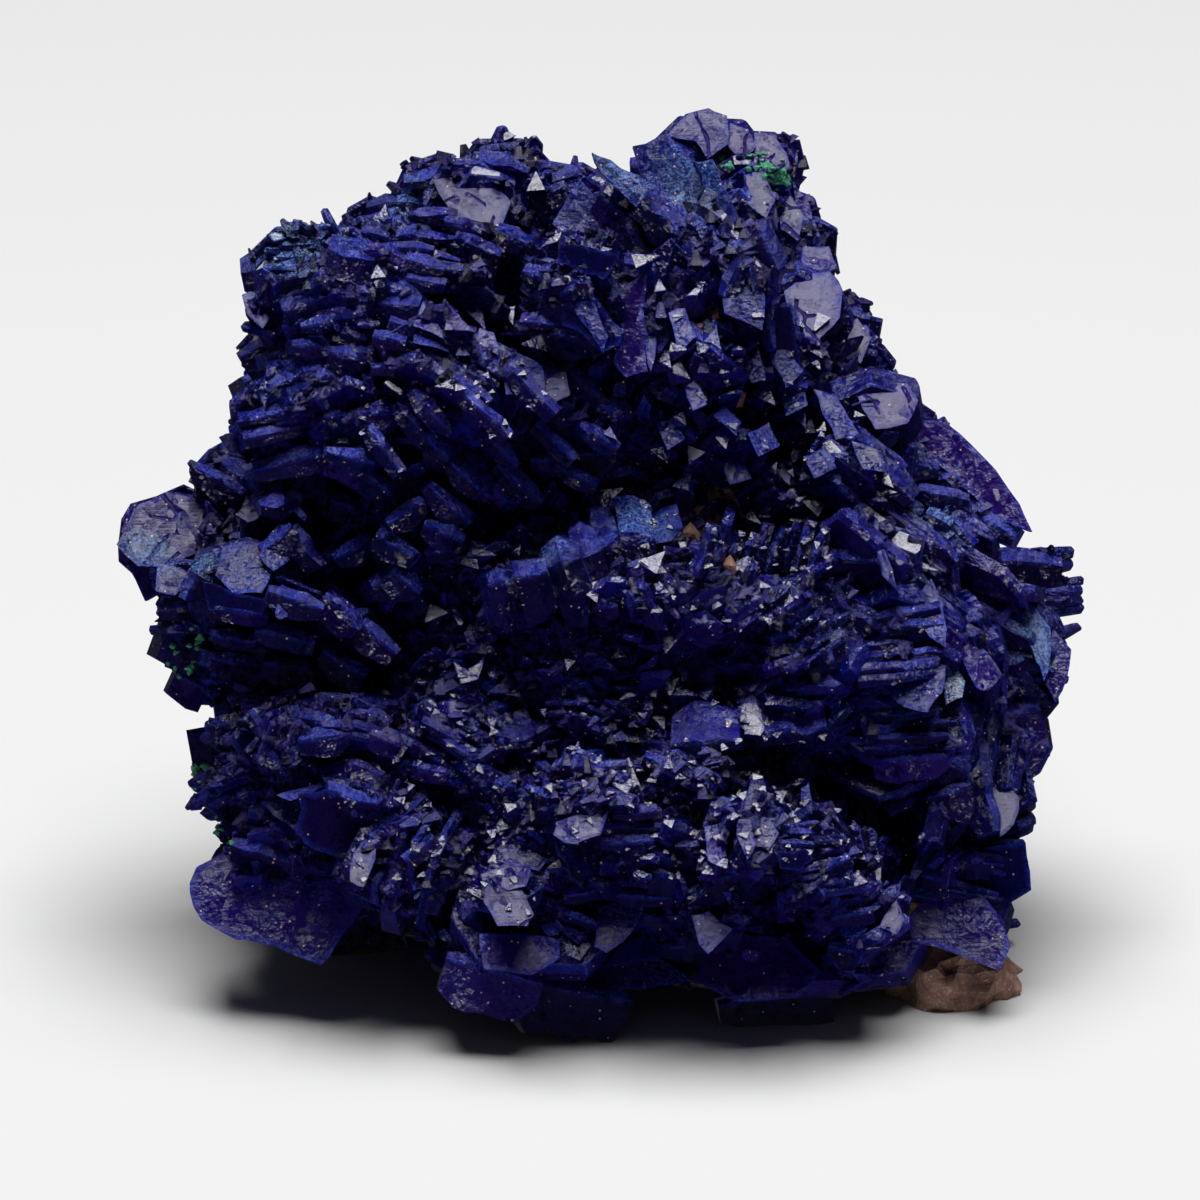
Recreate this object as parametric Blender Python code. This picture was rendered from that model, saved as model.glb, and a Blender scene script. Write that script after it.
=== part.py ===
"""Azurite specimen: blades and tablets of azurite grown together, with a lump of clay at one corner.

Run with: blender --background --python part.py
Lengths in the tables are millimetres on the show face: across to the right, up along the face, and
out of it towards the front. The show face leans back, and the specimen rests on a flat cut base.
"""

import math
import random

import bmesh
import bpy
from mathutils import Matrix, Vector
from mathutils.bvhtree import BVHTree

MM = 0.001

SHOW_LEAN = math.radians(20)  # how far the show face leans back from upright
HEART_HEIGHT = 25.5  # from the flat base up to the middle of the show face
BASE_CUT_WIDTH = 120  # the block taken away below the base
BASE_CUT_DEPTH = 40
CRYSTAL_SEED = 29
CRUST_SUBDIVISIONS = 1
REACH = 60  # longer than any way through the specimen
PAGE_OVERLAP = 0.85  # spacing of the pages of a group, as a share of their thickness
PAGE_SPACE = 0.4  # and the clear space added to it
HALF_SHOWN = 0.4  # how far a page stands past its group's place, as a share of its width
CLAY_CLEARANCE = 0.3

# Outlines in a page's own plane, as shares of its width: across the page, and back from its outer end.
SLAB = "slab"
BLOCK = "block"
PETAL = "petal"
TOOTH = "tooth"
OUTER_ENDS = {
    SLAB: ((0.50, -0.26), (0.30, 0.0), (-0.38, 0.0), (-0.50, -0.16)),
    BLOCK: ((0.50, -0.34), (0.22, 0.0), (-0.30, 0.02), (-0.50, -0.24)),
    PETAL: ((0.50, -0.40), (0.20, 0.0), (-0.22, -0.04), (-0.50, -0.44)),
    TOOTH: ((0.50, -0.60), (0.04, 0.0), (-0.50, -0.50)),
}
OUTER_THICKNESS = {SLAB: 0.75, BLOCK: 0.60, PETAL: 0.55, TOOTH: 0.25}  # share left at the outer end

# The crust that every crystal is rooted in: name, across, up, out, then its radii the same ways.
CRUST_LUMPS = (
    ("heart", 0, -5, -2, 24, 20, 16),
    ("upper_left", -12, 12, 1, 10, 11, 13),
    ("upper_middle", 4, 15, 2, 10, 12, 13),
    ("upper_back", 6, 14, -6, 11, 11, 10),
    ("left_arm", -21, -1, -2, 8, 8, 10),
    ("left_foot", -15, -15, 1, 11, 10, 13),
    ("left_heel", -12, -15, -11, 14, 12, 11),
    ("right_shoulder", 16, 4, -3, 9, 9, 12),
    ("right_arm", 21, -8, -4, 9, 14, 13),
    ("right_heel", 15, -17, -10, 13, 12, 12),
    ("brow", 2, -2, 9, 12, 4, 8),
    ("fan_root", 14, -6, 5, 8, 8, 10),
    ("lower_front", 3, -18, 5, 16, 9, 13),
    ("foot", 8, -20, -2, 19, 10, 14),
)

# The groups of crystals: name, across, up, rise off the crust, yaw, lean up, slope of the edges,
# pages, fan, width, thickness, shape. The angles are degrees.
CRYSTAL_GROUPS = (
    # upper-left mass
    ("dusted_block", -18, 18, 0.5, -25, 50, -12, 2, 14, 7.5, 3.4, BLOCK),
    ("left_cheek", -20.5, 18, 0, -60, 15, 10, 2, 20, 5, 2.6, BLOCK),
    ("upper_shelf", -14.5, 17, 1.5, -5, 45, -8, 2, 8, 8.5, 1.8, SLAB),
    ("left_prong", -20.5, 14, 0.5, -55, 5, 20, 2, 25, 5.5, 1.6, SLAB),
    ("middle_shelf", -17, 14, 1.5, -15, 40, -10, 2, 12, 6.5, 1.5, SLAB),
    ("slanted_shelf", -18.5, 12, 1.5, -25, 35, 25, 2, 10, 7, 1.6, SLAB),
    ("striped_bar", -18.5, 9.5, 1.5, -30, 25, 18, 3, 8, 8.5, 1.2, SLAB),
    ("dark_petals", -18, 5.5, 1.5, -20, 50, 25, 3, 18, 8, 1.5, PETAL),
    ("top_leaves", -12.5, 22, 0.5, -10, 55, -5, 3, 28, 5.5, 1.3, PETAL),
    ("stacked_leaves", -9.5, 19, 1, 5, 45, -12, 4, 26, 7, 1.2, SLAB),
    ("mirror_block", -8, 24, 2, 10, 75, -25, 1, 0, 6.5, 4, BLOCK),
    ("crown_block", -5.5, 25, -1.5, 10, 70, -15, 1, 0, 6.5, 4.5, BLOCK),
    ("shoulder_block", -10.5, 24, -1, -15, 65, 10, 1, 0, 6, 4, BLOCK),
    ("grey_teeth", -9.5, 15, 1.5, 0, 45, 0, 3, 30, 3, 1.6, TOOTH),
    ("slope_blades", -8.5, 11.5, 1.5, 15, 30, -40, 4, 32, 8, 1.3, SLAB),
    ("slope_foot", -7, 6.5, 1, 20, 15, -42, 3, 30, 6.5, 1.2, SLAB),
    ("ruffle", -11, 3.5, 1.5, 5, 25, 40, 3, 40, 5, 1.4, PETAL),
    ("ruffle_foot", -12.5, 0, 1, 0, 20, 65, 2, 35, 4.5, 1.4, PETAL),
    ("side_petal", -16.5, 1.5, 1, -10, 35, 50, 2, 30, 4.5, 1.4, PETAL),
    # top-middle mass
    ("blue_rhomb", -1, 22, 2, -5, 70, 8, 1, 0, 5.5, 2, TOOTH),
    ("long_slab", 4.5, 22.5, 2, 10, 45, -38, 1, 0, 11, 1.8, SLAB),
    ("under_slab", 3.5, 20.5, 2, 10, 45, -45, 2, 10, 8, 1.3, SLAB),
    ("dusty_slabs", 7, 24, 2, 15, 50, -48, 2, 12, 8.5, 2.1, SLAB),
    ("back_lumps", -2, 24.5, -1, -10, 65, -10, 2, 30, 4.5, 2.4, BLOCK),
    ("purple_petal", 2.5, 16.5, 3, 25, 60, 55, 1, 0, 9, 1.8, PETAL),
    ("round_petal", -0.5, 17.5, 3, -10, 55, -5, 2, 15, 5.5, 1.6, PETAL),
    ("cross_blades", 8.5, 20, 2, 20, 30, -65, 3, 40, 8, 1.6, SLAB),
    ("small_blue", -4, 15.5, 1, -10, 30, -30, 2, 30, 3.5, 1.1, SLAB),
    ("valley_teeth", -4.5, 19.5, 0, 0, 50, -10, 2, 30, 3.5, 1.5, TOOTH),
    ("pearl_block", -3, 11, 2, 0, 50, -10, 1, 0, 4.5, 3.4, BLOCK),
    ("blue_ledge", -0.5, 7, 2, 0, 35, 8, 2, 12, 5.5, 1.3, SLAB),
    ("bright_tooth", 0.5, 10, 1.5, 10, 45, 60, 2, 20, 3.5, 1.3, TOOTH),
    # top-right, set back
    ("grey_crown", 8.5, 26, -1.5, 5, 70, 10, 1, 0, 7.5, 5, BLOCK),
    ("green_block", 10.5, 25, -1, 20, 65, 5, 2, 18, 6, 4, BLOCK),
    ("back_knob", 12.5, 22.5, -0.5, 35, 55, 0, 2, 25, 5, 3.2, BLOCK),
    ("back_plates", 11.5, 21, 0.5, 25, 45, -60, 2, 25, 5.5, 1.8, SLAB),
    ("mirror_plate", 14, 17, 1.5, 35, 60, 10, 1, 0, 6.5, 4, BLOCK),
    ("side_block", 16.5, 14.5, 0, 40, 40, 5, 2, 25, 5, 3.4, BLOCK),
    ("lower_mirror", 18.5, 10, 0, 40, 50, 0, 1, 0, 6, 3.6, BLOCK),
    ("dark_knobs", 16, 13, 1, 30, 30, -50, 2, 25, 5, 2.4, BLOCK),
    ("smooth_cheek", 22, 4.5, -1.5, 50, 25, -45, 2, 12, 9, 4.5, SLAB),
    # rows of wedges on the slope between them
    ("wedges_high_left", 7.5, 14, 1.5, 10, 40, 15, 3, 30, 4.5, 1.5, TOOTH),
    ("wedges_high_right", 12, 13.5, 1.5, 20, 40, -20, 3, 30, 4.5, 1.5, TOOTH),
    ("wedges_middle_left", 8, 9, 1, 5, 45, 10, 3, 30, 4.5, 1.5, TOOTH),
    ("wedges_middle_right", 13, 9, 1.5, 20, 45, -15, 3, 30, 5, 1.6, TOOTH),
    ("wedges_low", 10.5, 5.5, 0.5, 10, 50, 5, 3, 30, 4.5, 1.5, TOOTH),
    ("wedges_edge", 17, 6.5, 1.5, 30, 40, -35, 3, 30, 6, 1.6, SLAB),
    # crest over the hollow
    ("crest_left", -3, -0.5, 4, -20, 45, 72, 3, 35, 5, 1.8, PETAL),
    ("crest_right", 3, 2.5, 4.5, 5, 50, 75, 4, 35, 6, 1.7, PETAL),
    ("crest_sill", 0.5, -1.5, 2.5, 0, 0, 20, 1, 0, 12, 3, SLAB),
    # right-centre fan
    ("comb_left", 8, 1.5, 3, 0, 50, 62, 4, 30, 4.5, 1, TOOTH),
    ("comb_right", 12.5, 1, 3, 10, 50, 65, 4, 30, 4.5, 1, TOOTH),
    ("blue_blades", 18, 0.5, 3, 30, 40, -45, 3, 30, 8, 1.6, SLAB),
    ("fan_right", 21, -4, 2, 45, 15, -15, 3, 30, 7, 1.6, SLAB),
    ("fan_dome", 20, -7.5, 3, 35, -5, 5, 2, 15, 6.5, 2.6, PETAL),
    ("fan_leaves", 20, -11.5, 2.5, 25, -25, 4, 4, 28, 8, 1.1, PETAL),
    ("glitter_shelf", 10, -9, 4, 5, -25, 8, 2, 8, 13.5, 1.8, SLAB),
    ("fan_heart", 13.5, -3.5, 1, 20, 5, 30, 3, 40, 5, 1.4, TOOTH),
    # lower-middle
    ("v_mirror", -8, -6.5, 1.5, -10, 25, -20, 2, 20, 4, 1.4, TOOTH),
    ("diagonal_plates", -9, -11, 1.5, -15, 20, -35, 4, 25, 6.5, 1.2, SLAB),
    ("hollow_floor", -0.5, -8, 0.5, 0, 25, -15, 3, 40, 5, 1.3, TOOTH),
    ("curved_book", 3.5, -17, 2, 5, 10, 0, 4, 32, 8, 1.2, PETAL),
    ("grey_book", -0.5, -15, 1.5, 0, 30, -25, 3, 30, 6, 1.2, SLAB),
    ("round_book", 4, -20.5, 2.5, 5, 20, -5, 2, 15, 8, 1.8, PETAL),
    ("bright_square", -5.5, -21, 3, -5, -40, -20, 1, 0, 4.5, 2.4, BLOCK),
    ("rose_left", -11, -18.5, 2, -25, 0, 70, 4, 38, 8, 1.1, PETAL),
    ("rose_foot", -9, -23, 1.5, -25, -25, 50, 3, 35, 6.5, 1.2, PETAL),
    ("apron", -4.5, -24, 2, -10, -45, 0, 2, 12, 8.5, 1.6, PETAL),
    ("apron_tooth", -1, -23.5, 2.5, 0, -30, -35, 1, 0, 4, 1.8, TOOTH),
    ("upright_plates", 9.5, -17, 2, 10, 20, 70, 3, 25, 6, 1.4, SLAB),
    ("dark_blocks", 13.5, -19, 2, 10, 20, 15, 2, 20, 5, 2.8, BLOCK),
    ("pyramids", 17.5, -20, 2.5, 30, 35, 40, 3, 30, 5.5, 2.6, TOOTH),
    ("pyramid_foot", 16.5, -24, 2, 20, 5, 45, 2, 25, 5.5, 2.6, TOOTH),
    ("small_pyramid", 7.5, -20.5, 2, 5, 40, 5, 1, 0, 4, 2.6, TOOTH),
    ("upper_chips", -2, -11.5, 1, 0, 30, 30, 2, 40, 4.5, 1.4, TOOTH),
    ("right_chips", 6, -13.5, 1, 10, 20, -30, 2, 35, 5, 1.4, SLAB),
    # left-lower
    ("mirror_tablet", -27.5, 1.5, 0.5, -50, 35, -8, 1, 0, 8, 3.6, BLOCK),
    ("under_tablet", -26, -2, -0.5, -60, 0, 0, 2, 20, 5.5, 3, BLOCK),
    ("glazed_block", -23, -1, 2, -30, 40, -8, 1, 0, 7.5, 3.6, BLOCK),
    ("layered_block", -21, -5.5, 2.5, -25, -10, -5, 3, 10, 9, 2, SLAB),
    ("parallel_block", -22, 5.5, 0, -35, 40, -35, 2, 10, 6.5, 2.6, SLAB),
    ("cheek_tooth", -20.5, 3.5, 2, -15, 45, 30, 1, 0, 4, 2, TOOTH),
    ("cheek_pyramid", -20, 0.5, 2, -15, 45, 0, 1, 0, 4.5, 3, TOOTH),
    ("low_knobs", -24.5, -6.5, -1, -50, -10, 5, 2, 20, 5, 3, BLOCK),
    ("green_knob", -23, -12.5, -1, -50, -5, 15, 2, 18, 6, 3.8, BLOCK),
    ("inner_petals", -16, -3.5, 1, -10, 5, 60, 2, 35, 5, 1.6, PETAL),
    # bottom-left
    ("grey_tablet", -17.5, -16, 3, -60, -30, -30, 1, 0, 8, 3, SLAB),
    ("great_tablet", -20.5, -18.5, 1.5, -60, -42, -28, 1, 0, 11, 4.5, SLAB),
    ("second_tablet", -14, -21, 1, -15, -60, -24, 1, 0, 9, 4.5, SLAB),
    ("round_pages", -20, -11, 1.5, -30, 10, 60, 3, 35, 5.5, 1.9, PETAL),
    ("lit_block", -16, -10.5, 1.5, -15, 30, -10, 2, 25, 5.5, 2, BLOCK),
    ("pale_post", -14.5, -18.5, 2, -10, 20, 70, 1, 0, 4, 1.8, SLAB),
    # bottom-centre
    ("lavender_plate", 2, -24.5, 2, -10, -65, 30, 1, 0, 10, 3.2, SLAB),
    ("dark_plate", 10, -26, 2, 5, -65, -10, 1, 0, 10.5, 3.5, SLAB),
    ("rolled_edge", 14, -25.5, 2, 25, -55, -35, 1, 0, 6.5, 3, SLAB),
    ("lavender_block", 18, -25, 1, 20, -60, 10, 1, 0, 6, 4, BLOCK),
    ("dark_sill", -4.5, -23, 0.5, -5, -65, -14, 1, 0, 10, 4, SLAB),
    # right side, set back
    ("right_knuckle", 29.5, -1, 0.5, 70, 5, 5, 2, 15, 5, 2.8, BLOCK),
    ("right_curl", 27.5, -4.5, 0, 55, 5, -30, 3, 25, 7, 1.6, PETAL),
    ("right_back", 28, -6.5, -1, 65, 0, -10, 1, 0, 6, 3.6, BLOCK),
    ("right_leaves", 23.5, -6, 0.5, 35, 5, -55, 3, 30, 7, 1.5, PETAL),
    ("right_cheek", 25.5, -12.5, 0, 55, -5, 70, 1, 0, 8.5, 4.5, BLOCK),
    ("right_mirror", 25.5, -16, 1, 40, 25, 30, 1, 0, 5, 3, BLOCK),
    ("upper_cheek", 23, 2, 0, 40, 30, -35, 3, 30, 6.5, 2.2, SLAB),
    ("right_spike", 25.5, -20, 0, 60, -10, -10, 2, 20, 5, 2.4, TOOTH),
    ("blue_knobs", 22.5, -18.5, 1, 30, 5, 50, 2, 30, 4.5, 2.4, BLOCK),
    ("tall_leaves", 23, -13, 1, 35, 0, 75, 3, 22, 7.5, 1.5, SLAB),
    # bottom-right
    ("dark_cheek", 23, -22.5, 1, 35, 20, -20, 1, 0, 8.5, 4, SLAB),
    ("corner_block", 25.5, -22.5, 0, 55, 0, 0, 1, 0, 6, 4, BLOCK),
)

# The far side: blocks and slabs spread by rule over the directions this far round from the front.
FAR_SIDE_START = math.radians(80)
FAR_SIDE_DIRECTIONS = 84  # over a whole ball, of which the far side takes its share
FAR_SIDE_LOWEST = -0.35  # the lowest direction used, as the height of a step of length 1
FAR_SIDE_SINK = 3.0
FAR_SIDE_WIDTHS = (8, 10, 12)
FAR_SIDE_THICKNESS = (3.6, 4.6, 5.6)

# The clay that the crystals grew against, at the lower right corner.
CLAY_PLACE = (23, -27.5, -1)
CLAY_RADII = (5.0, 5.0, 6.5)


def on_face(across, up, out):
    """A place on the show face, as a point of the world."""
    height = HEART_HEIGHT + up * math.cos(SHOW_LEAN) + out * math.sin(SHOW_LEAN)
    depth = up * math.sin(SHOW_LEAN) - out * math.cos(SHOW_LEAN)
    return Vector((across, depth, height)) * MM


def direction_on_face(across, up, out):
    return (on_face(across, up, out) - on_face(0, 0, 0)).normalized()


def clear_scene():
    for item in list(bpy.data.objects):
        bpy.data.objects.remove(item, do_unlink=True)


def new_object(name, bm, collection):
    mesh = bpy.data.meshes.new(name)
    bmesh.ops.recalc_face_normals(bm, faces=bm.faces)
    bm.to_mesh(mesh)
    bm.free()
    made = bpy.data.objects.new(name, mesh)
    collection.objects.link(made)
    return made


def helper(made):
    made.hide_render = True
    made.display_type = "WIRE"
    return made


def new_lump(name, across, up, out, radii, subdivisions, grow=0.0):
    """A low ball stretched along the show face, with its corners pushed in and out a little."""
    rng = random.Random(name)
    bm = bmesh.new()
    bmesh.ops.create_icosphere(bm, subdivisions=subdivisions, radius=1.0)
    for vert in bm.verts:
        push = rng.uniform(0.92, 1.08)
        x, y, z = (share * (radius * push + grow) for share, radius in zip(vert.co, radii))
        vert.co = on_face(across + x, up + y, out + z)
    return bm


def new_crust(collection):
    for name, across, up, out, *radii in CRUST_LUMPS:
        bm = new_lump(name, across, up, out, radii, subdivisions=CRUST_SUBDIVISIONS)
        helper(new_object("crust_" + name, bm, collection))


def crust_tree(collection):
    """The crust's faces, for finding where a crystal is rooted."""
    corners = []
    faces = []
    for lump in collection.objects:
        first = len(corners)
        corners += [lump.matrix_world @ vert.co for vert in lump.data.vertices]
        faces += [[first + index for index in face.vertices] for face in lump.data.polygons]
    return BVHTree.FromPolygons(corners, faces)


def page_mesh(shape, width, length, thick):
    """One crystal in its own plane: outline face, extruded, then thinned towards the outer end."""
    outline = [(-0.42 * width, -length), (0.42 * width, -length)]
    outline += [(x * width, y * width) for x, y in OUTER_ENDS[shape]]
    bm = bmesh.new()
    face = bm.faces.new([bm.verts.new((x * MM, y * MM, -0.5 * thick * MM)) for x, y in outline])
    grown = bmesh.ops.extrude_face_region(bm, geom=[face])["geom"]
    raised = [item for item in grown if isinstance(item, bmesh.types.BMVert)]
    bmesh.ops.translate(bm, verts=raised, vec=(0, 0, thick * MM))
    for vert in bm.verts:
        outwards = 1 + vert.co.y / (length * MM)
        vert.co.z *= 1 - (1 - OUTER_THICKNESS[shape]) * outwards
    return bm


def turned(outward, slope):
    """The page's edge and its own upright, for an outward direction and a slope across the show face."""
    edge = direction_on_face(math.cos(slope), math.sin(slope), 0)
    edge = (edge - outward * edge.dot(outward)).normalized()
    return edge, edge.cross(outward).normalized()


def grow_group(name, tip, outward, slope, pages, fan, width, thick, shape, collection):
    """Pages stacked along their own upright and fanned about their common edge."""
    rng = random.Random(f"{name} {CRYSTAL_SEED}")
    edge, upright = turned(outward, slope)
    spacing = PAGE_OVERLAP * thick + PAGE_SPACE
    for number in range(pages):
        share = (number + 0.5) / pages - 0.5
        own_width = width * rng.uniform(0.85, 1.1)
        length = 5 + 0.35 * own_width
        bm = page_mesh(shape, own_width, length, thick * rng.uniform(0.85, 1.15))
        turn = math.radians(fan) * share + rng.uniform(-0.06, 0.06)
        tilt = rng.uniform(-0.10, 0.10)
        twist = rng.uniform(-0.08, 0.08)
        spin = Matrix.Rotation(turn, 3, edge) @ Matrix.Rotation(tilt, 3, upright)
        spin = spin @ Matrix.Rotation(twist, 3, outward)
        axes = Matrix((edge, outward, upright)).transposed()
        place = tip + upright * (share * pages * spacing * MM)
        place += edge * (rng.uniform(-0.12, 0.12) * own_width * MM)
        place += outward * ((HALF_SHOWN * own_width + rng.uniform(-0.6, 0.4)) * MM)
        bm.transform(Matrix.Translation(place) @ (spin @ axes).to_4x4())
        helper(new_object(f"{name}_{number}", bm, collection))


def grow_show_face(tree, collection):
    for name, across, up, rise, yaw, lean, slope, pages, fan, width, thick, shape in CRYSTAL_GROUPS:
        yaw, lean, slope = (math.radians(angle) for angle in (yaw, lean, slope))
        outward = direction_on_face(
            math.sin(yaw) * math.cos(lean), math.sin(lean), math.cos(yaw) * math.cos(lean)
        )
        start = on_face(across, up, REACH)
        hit = tree.ray_cast(start, direction_on_face(0, 0, -1))[0]
        if hit is None:
            hit = on_face(across, up, -6)
        tip = hit + direction_on_face(0, 0, 1) * (rise * MM)
        grow_group(name, tip, outward, slope, pages, fan, width, thick, shape, collection)


def grow_far_side(tree, collection):
    """Blocks and slabs spread evenly over the sides and the back, by the golden angle."""
    golden_angle = math.pi * (3 - math.sqrt(5))
    rng = random.Random(CRYSTAL_SEED)
    middle = on_face(1, -5, -4)
    front = direction_on_face(0, 0, 1)
    number = 0
    for step in range(FAR_SIDE_DIRECTIONS):
        share = 1 - 2 * (step + 0.5) / FAR_SIDE_DIRECTIONS
        ring = math.sqrt(1 - share * share)
        turn = golden_angle * step
        outward = direction_on_face(ring * math.cos(turn), ring * math.sin(turn), share)
        if outward.angle(front) < FAR_SIDE_START or outward.z < FAR_SIDE_LOWEST:
            continue
        hit = tree.ray_cast(middle + outward * (REACH * MM), -outward)[0]
        tip = hit - outward * (FAR_SIDE_SINK * MM)
        leaning = (outward + Vector((0, 0, rng.uniform(0.0, 0.6)))).normalized()
        slope = rng.uniform(-1.2, 1.2)
        width = FAR_SIDE_WIDTHS[number % 3]
        thick = FAR_SIDE_THICKNESS[(number + number // 3) % 3]
        shape = (BLOCK, SLAB, PETAL)[number % 3]
        grow_group(f"far_{number}", tip, leaning, slope, 1, 0, width, thick, shape, collection)
        number += 1


def add_boolean(made, operation, other, name):
    step = made.modifiers.new(name, "BOOLEAN")
    step.operation = operation
    step.solver = "EXACT"
    if isinstance(other, bpy.types.Collection):
        step.operand_type = "COLLECTION"
        step.collection = other
    else:
        step.object = other


def keep_outer_skin(mesh):
    """Removes the skins of spaces sealed inside, so that only the largest skin is left."""
    bm = bmesh.new()
    bm.from_mesh(mesh)
    unseen = set(bm.verts)
    skins = []
    while unseen:
        skin = set()
        edge_of_search = [unseen.pop()]
        while edge_of_search:
            vert = edge_of_search.pop()
            skin.add(vert)
            for edge in vert.link_edges:
                other = edge.other_vert(vert)
                if other in unseen:
                    unseen.remove(other)
                    edge_of_search.append(other)
        skins.append(skin)
    skins.sort(key=len)
    for skin in skins[:-1]:
        bmesh.ops.delete(bm, geom=list(skin), context="VERTS")
    bm.to_mesh(mesh)
    bm.free()


def settle(made):
    """Replaces the object's mesh and modifiers by the evaluated mesh."""
    graph = bpy.context.evaluated_depsgraph_get()
    mesh = bpy.data.meshes.new_from_object(made.evaluated_get(graph))
    made.modifiers.clear()
    made.data = mesh
    keep_outer_skin(mesh)


def new_material(name, colour, roughness, metallic=0.0):
    material = bpy.data.materials.new(name)
    material.use_nodes = True
    surface = material.node_tree.nodes["Principled BSDF"]
    surface.inputs["Base Color"].default_value = (*colour, 1.0)
    surface.inputs["Roughness"].default_value = roughness
    surface.inputs["Metallic"].default_value = metallic
    material.diffuse_color = (*colour, 1.0)
    return material


def new_ground_cutter(collection):
    bm = bmesh.new()
    size = Matrix.Diagonal((BASE_CUT_WIDTH * MM, BASE_CUT_WIDTH * MM, BASE_CUT_DEPTH * MM, 1.0))
    middle = Matrix.Translation((0, 0, -0.5 * BASE_CUT_DEPTH * MM))
    bmesh.ops.create_cube(bm, size=1.0, matrix=middle @ size)
    return helper(new_object("ground_cutter", bm, collection))


def main():
    clear_scene()
    scene = bpy.context.scene
    scene.unit_settings.system = "METRIC"
    crust = bpy.data.collections.new("crust")
    growth = bpy.data.collections.new("growth")
    cutters = bpy.data.collections.new("cutters")
    for collection in (crust, growth, cutters):
        scene.collection.children.link(collection)

    new_crust(crust)
    tree = crust_tree(crust)
    grow_show_face(tree, growth)
    grow_far_side(tree, growth)
    for lump in list(crust.objects)[1:]:
        crust.objects.unlink(lump)
        growth.objects.link(lump)
    crystals = crust.objects[0]
    crystals.name = "azurite_crystals"
    crystals.hide_render = False
    crystals.display_type = "TEXTURED"

    ground = new_ground_cutter(cutters)
    pocket_mesh = new_lump("clay", *CLAY_PLACE, CLAY_RADII, subdivisions=2, grow=CLAY_CLEARANCE)
    pocket = helper(new_object("clay_pocket_cutter", pocket_mesh, cutters))
    add_boolean(crystals, "UNION", growth, "grown_together")
    add_boolean(crystals, "DIFFERENCE", ground, "flat_base")
    add_boolean(crystals, "DIFFERENCE", pocket, "clay_pocket")
    settle(crystals)
    crystals.data.materials.clear()
    crystals.data.materials.append(new_material("azurite", (0.012, 0.012, 0.10), 0.35))

    clay_mesh = new_lump("clay", *CLAY_PLACE, CLAY_RADII, subdivisions=2)
    clay = new_object("clay_matrix", clay_mesh, scene.collection)
    add_boolean(clay, "DIFFERENCE", ground, "flat_base")
    settle(clay)
    clay.data.materials.append(new_material("host_clay", (0.33, 0.21, 0.17), 0.9))
    for item in list(bpy.data.objects):
        if item not in (crystals, clay):
            bpy.data.objects.remove(item, do_unlink=True)


main()
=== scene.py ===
import math
import random

import bmesh
import bpy
import numpy as np
from mathutils import Matrix, Vector, kdtree, noise
from mathutils.bvhtree import BVHTree


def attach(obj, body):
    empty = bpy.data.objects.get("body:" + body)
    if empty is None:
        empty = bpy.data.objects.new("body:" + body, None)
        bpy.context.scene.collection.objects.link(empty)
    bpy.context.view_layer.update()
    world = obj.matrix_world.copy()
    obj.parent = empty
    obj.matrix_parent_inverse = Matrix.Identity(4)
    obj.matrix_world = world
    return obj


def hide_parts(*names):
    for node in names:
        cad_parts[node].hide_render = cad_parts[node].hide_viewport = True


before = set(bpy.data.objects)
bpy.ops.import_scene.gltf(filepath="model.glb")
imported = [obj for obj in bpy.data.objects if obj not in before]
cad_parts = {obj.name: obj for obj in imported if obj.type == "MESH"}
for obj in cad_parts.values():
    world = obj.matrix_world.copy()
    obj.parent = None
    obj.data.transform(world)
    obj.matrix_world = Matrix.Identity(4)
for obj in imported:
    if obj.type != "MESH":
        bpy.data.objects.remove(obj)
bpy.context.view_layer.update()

mm = 0.001
crystalSeed = 29

# The show face leans back from upright, and its middle is this high over the flat base. Places on it are
# millimetres across to the right, up along it, and out of it to the front. Rays start at reach.
showFace = {"leanBack": math.radians(20), "middleHeight": 25.5, "reach": 60}

# The lamp hangs straight over the specimen, sizes in metres. A crystal face mirrors it to the front when it
# looks along halfWay, given as across, up and out.
softLamp = {
    "height": 0.80, "size": 0.60, "power": 10.0, "halfWay": (0.0, 0.574, 0.819),
    "fill": 0.030, "fillColour": (0.9, 0.94, 1.0, 1),
}


def onFace(across, up, out):
    lean = showFace["leanBack"]
    height = showFace["middleHeight"] + up * math.cos(lean) + out * math.sin(lean)
    depth = up * math.sin(lean) - out * math.cos(lean)
    return Vector((across, depth, height)) * mm


def alongFace(across, up, out):
    return (onFace(across, up, out) - onFace(0, 0, 0)).normalized()


def facing(yaw, lean):
    yaw, lean = math.radians(yaw), math.radians(lean)
    return alongFace(math.sin(yaw) * math.cos(lean), math.sin(lean), math.cos(yaw) * math.cos(lean))


def turned(outward, slope):  # the edge of a page and its own upright, slope in radians
    edge = alongFace(math.cos(slope), math.sin(slope), 0)
    edge = (edge - outward * edge.dot(outward)).normalized()
    return edge, edge.cross(outward).normalized()


lampMirror = alongFace(*softLamp["halfWay"])
frontward = alongFace(0, 0, 1)
bodyMiddle = onFace(1, -4, -3)


def straying(rng, spread):  # a small step in a random direction
    return Vector([rng.gauss(0, spread) for _ in range(3)])


def newStock():
    return {"points": [], "corners": [], "sizes": [], "kinds": [], "grain": [], "finish": [], "count": 0}


def takeIn(stock, bm):  # adds one finished crystal to the stock and frees it
    grain = bm.loops.layers.uv["grain"]
    finish = bm.loops.layers.float_color["finish"]
    bm.verts.index_update()
    first = stock["count"]
    stock["points"] += [vert.co[:] for vert in bm.verts]
    stock["count"] += len(bm.verts)
    for face in bm.faces:
        stock["sizes"].append(len(face.loops))
        stock["kinds"].append(face.material_index)
        for loop in face.loops:
            stock["corners"].append(first + loop.vert.index)
            stock["grain"].append(loop[grain].uv[:])
            stock["finish"].append(loop[finish][:])
    bm.free()


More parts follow.
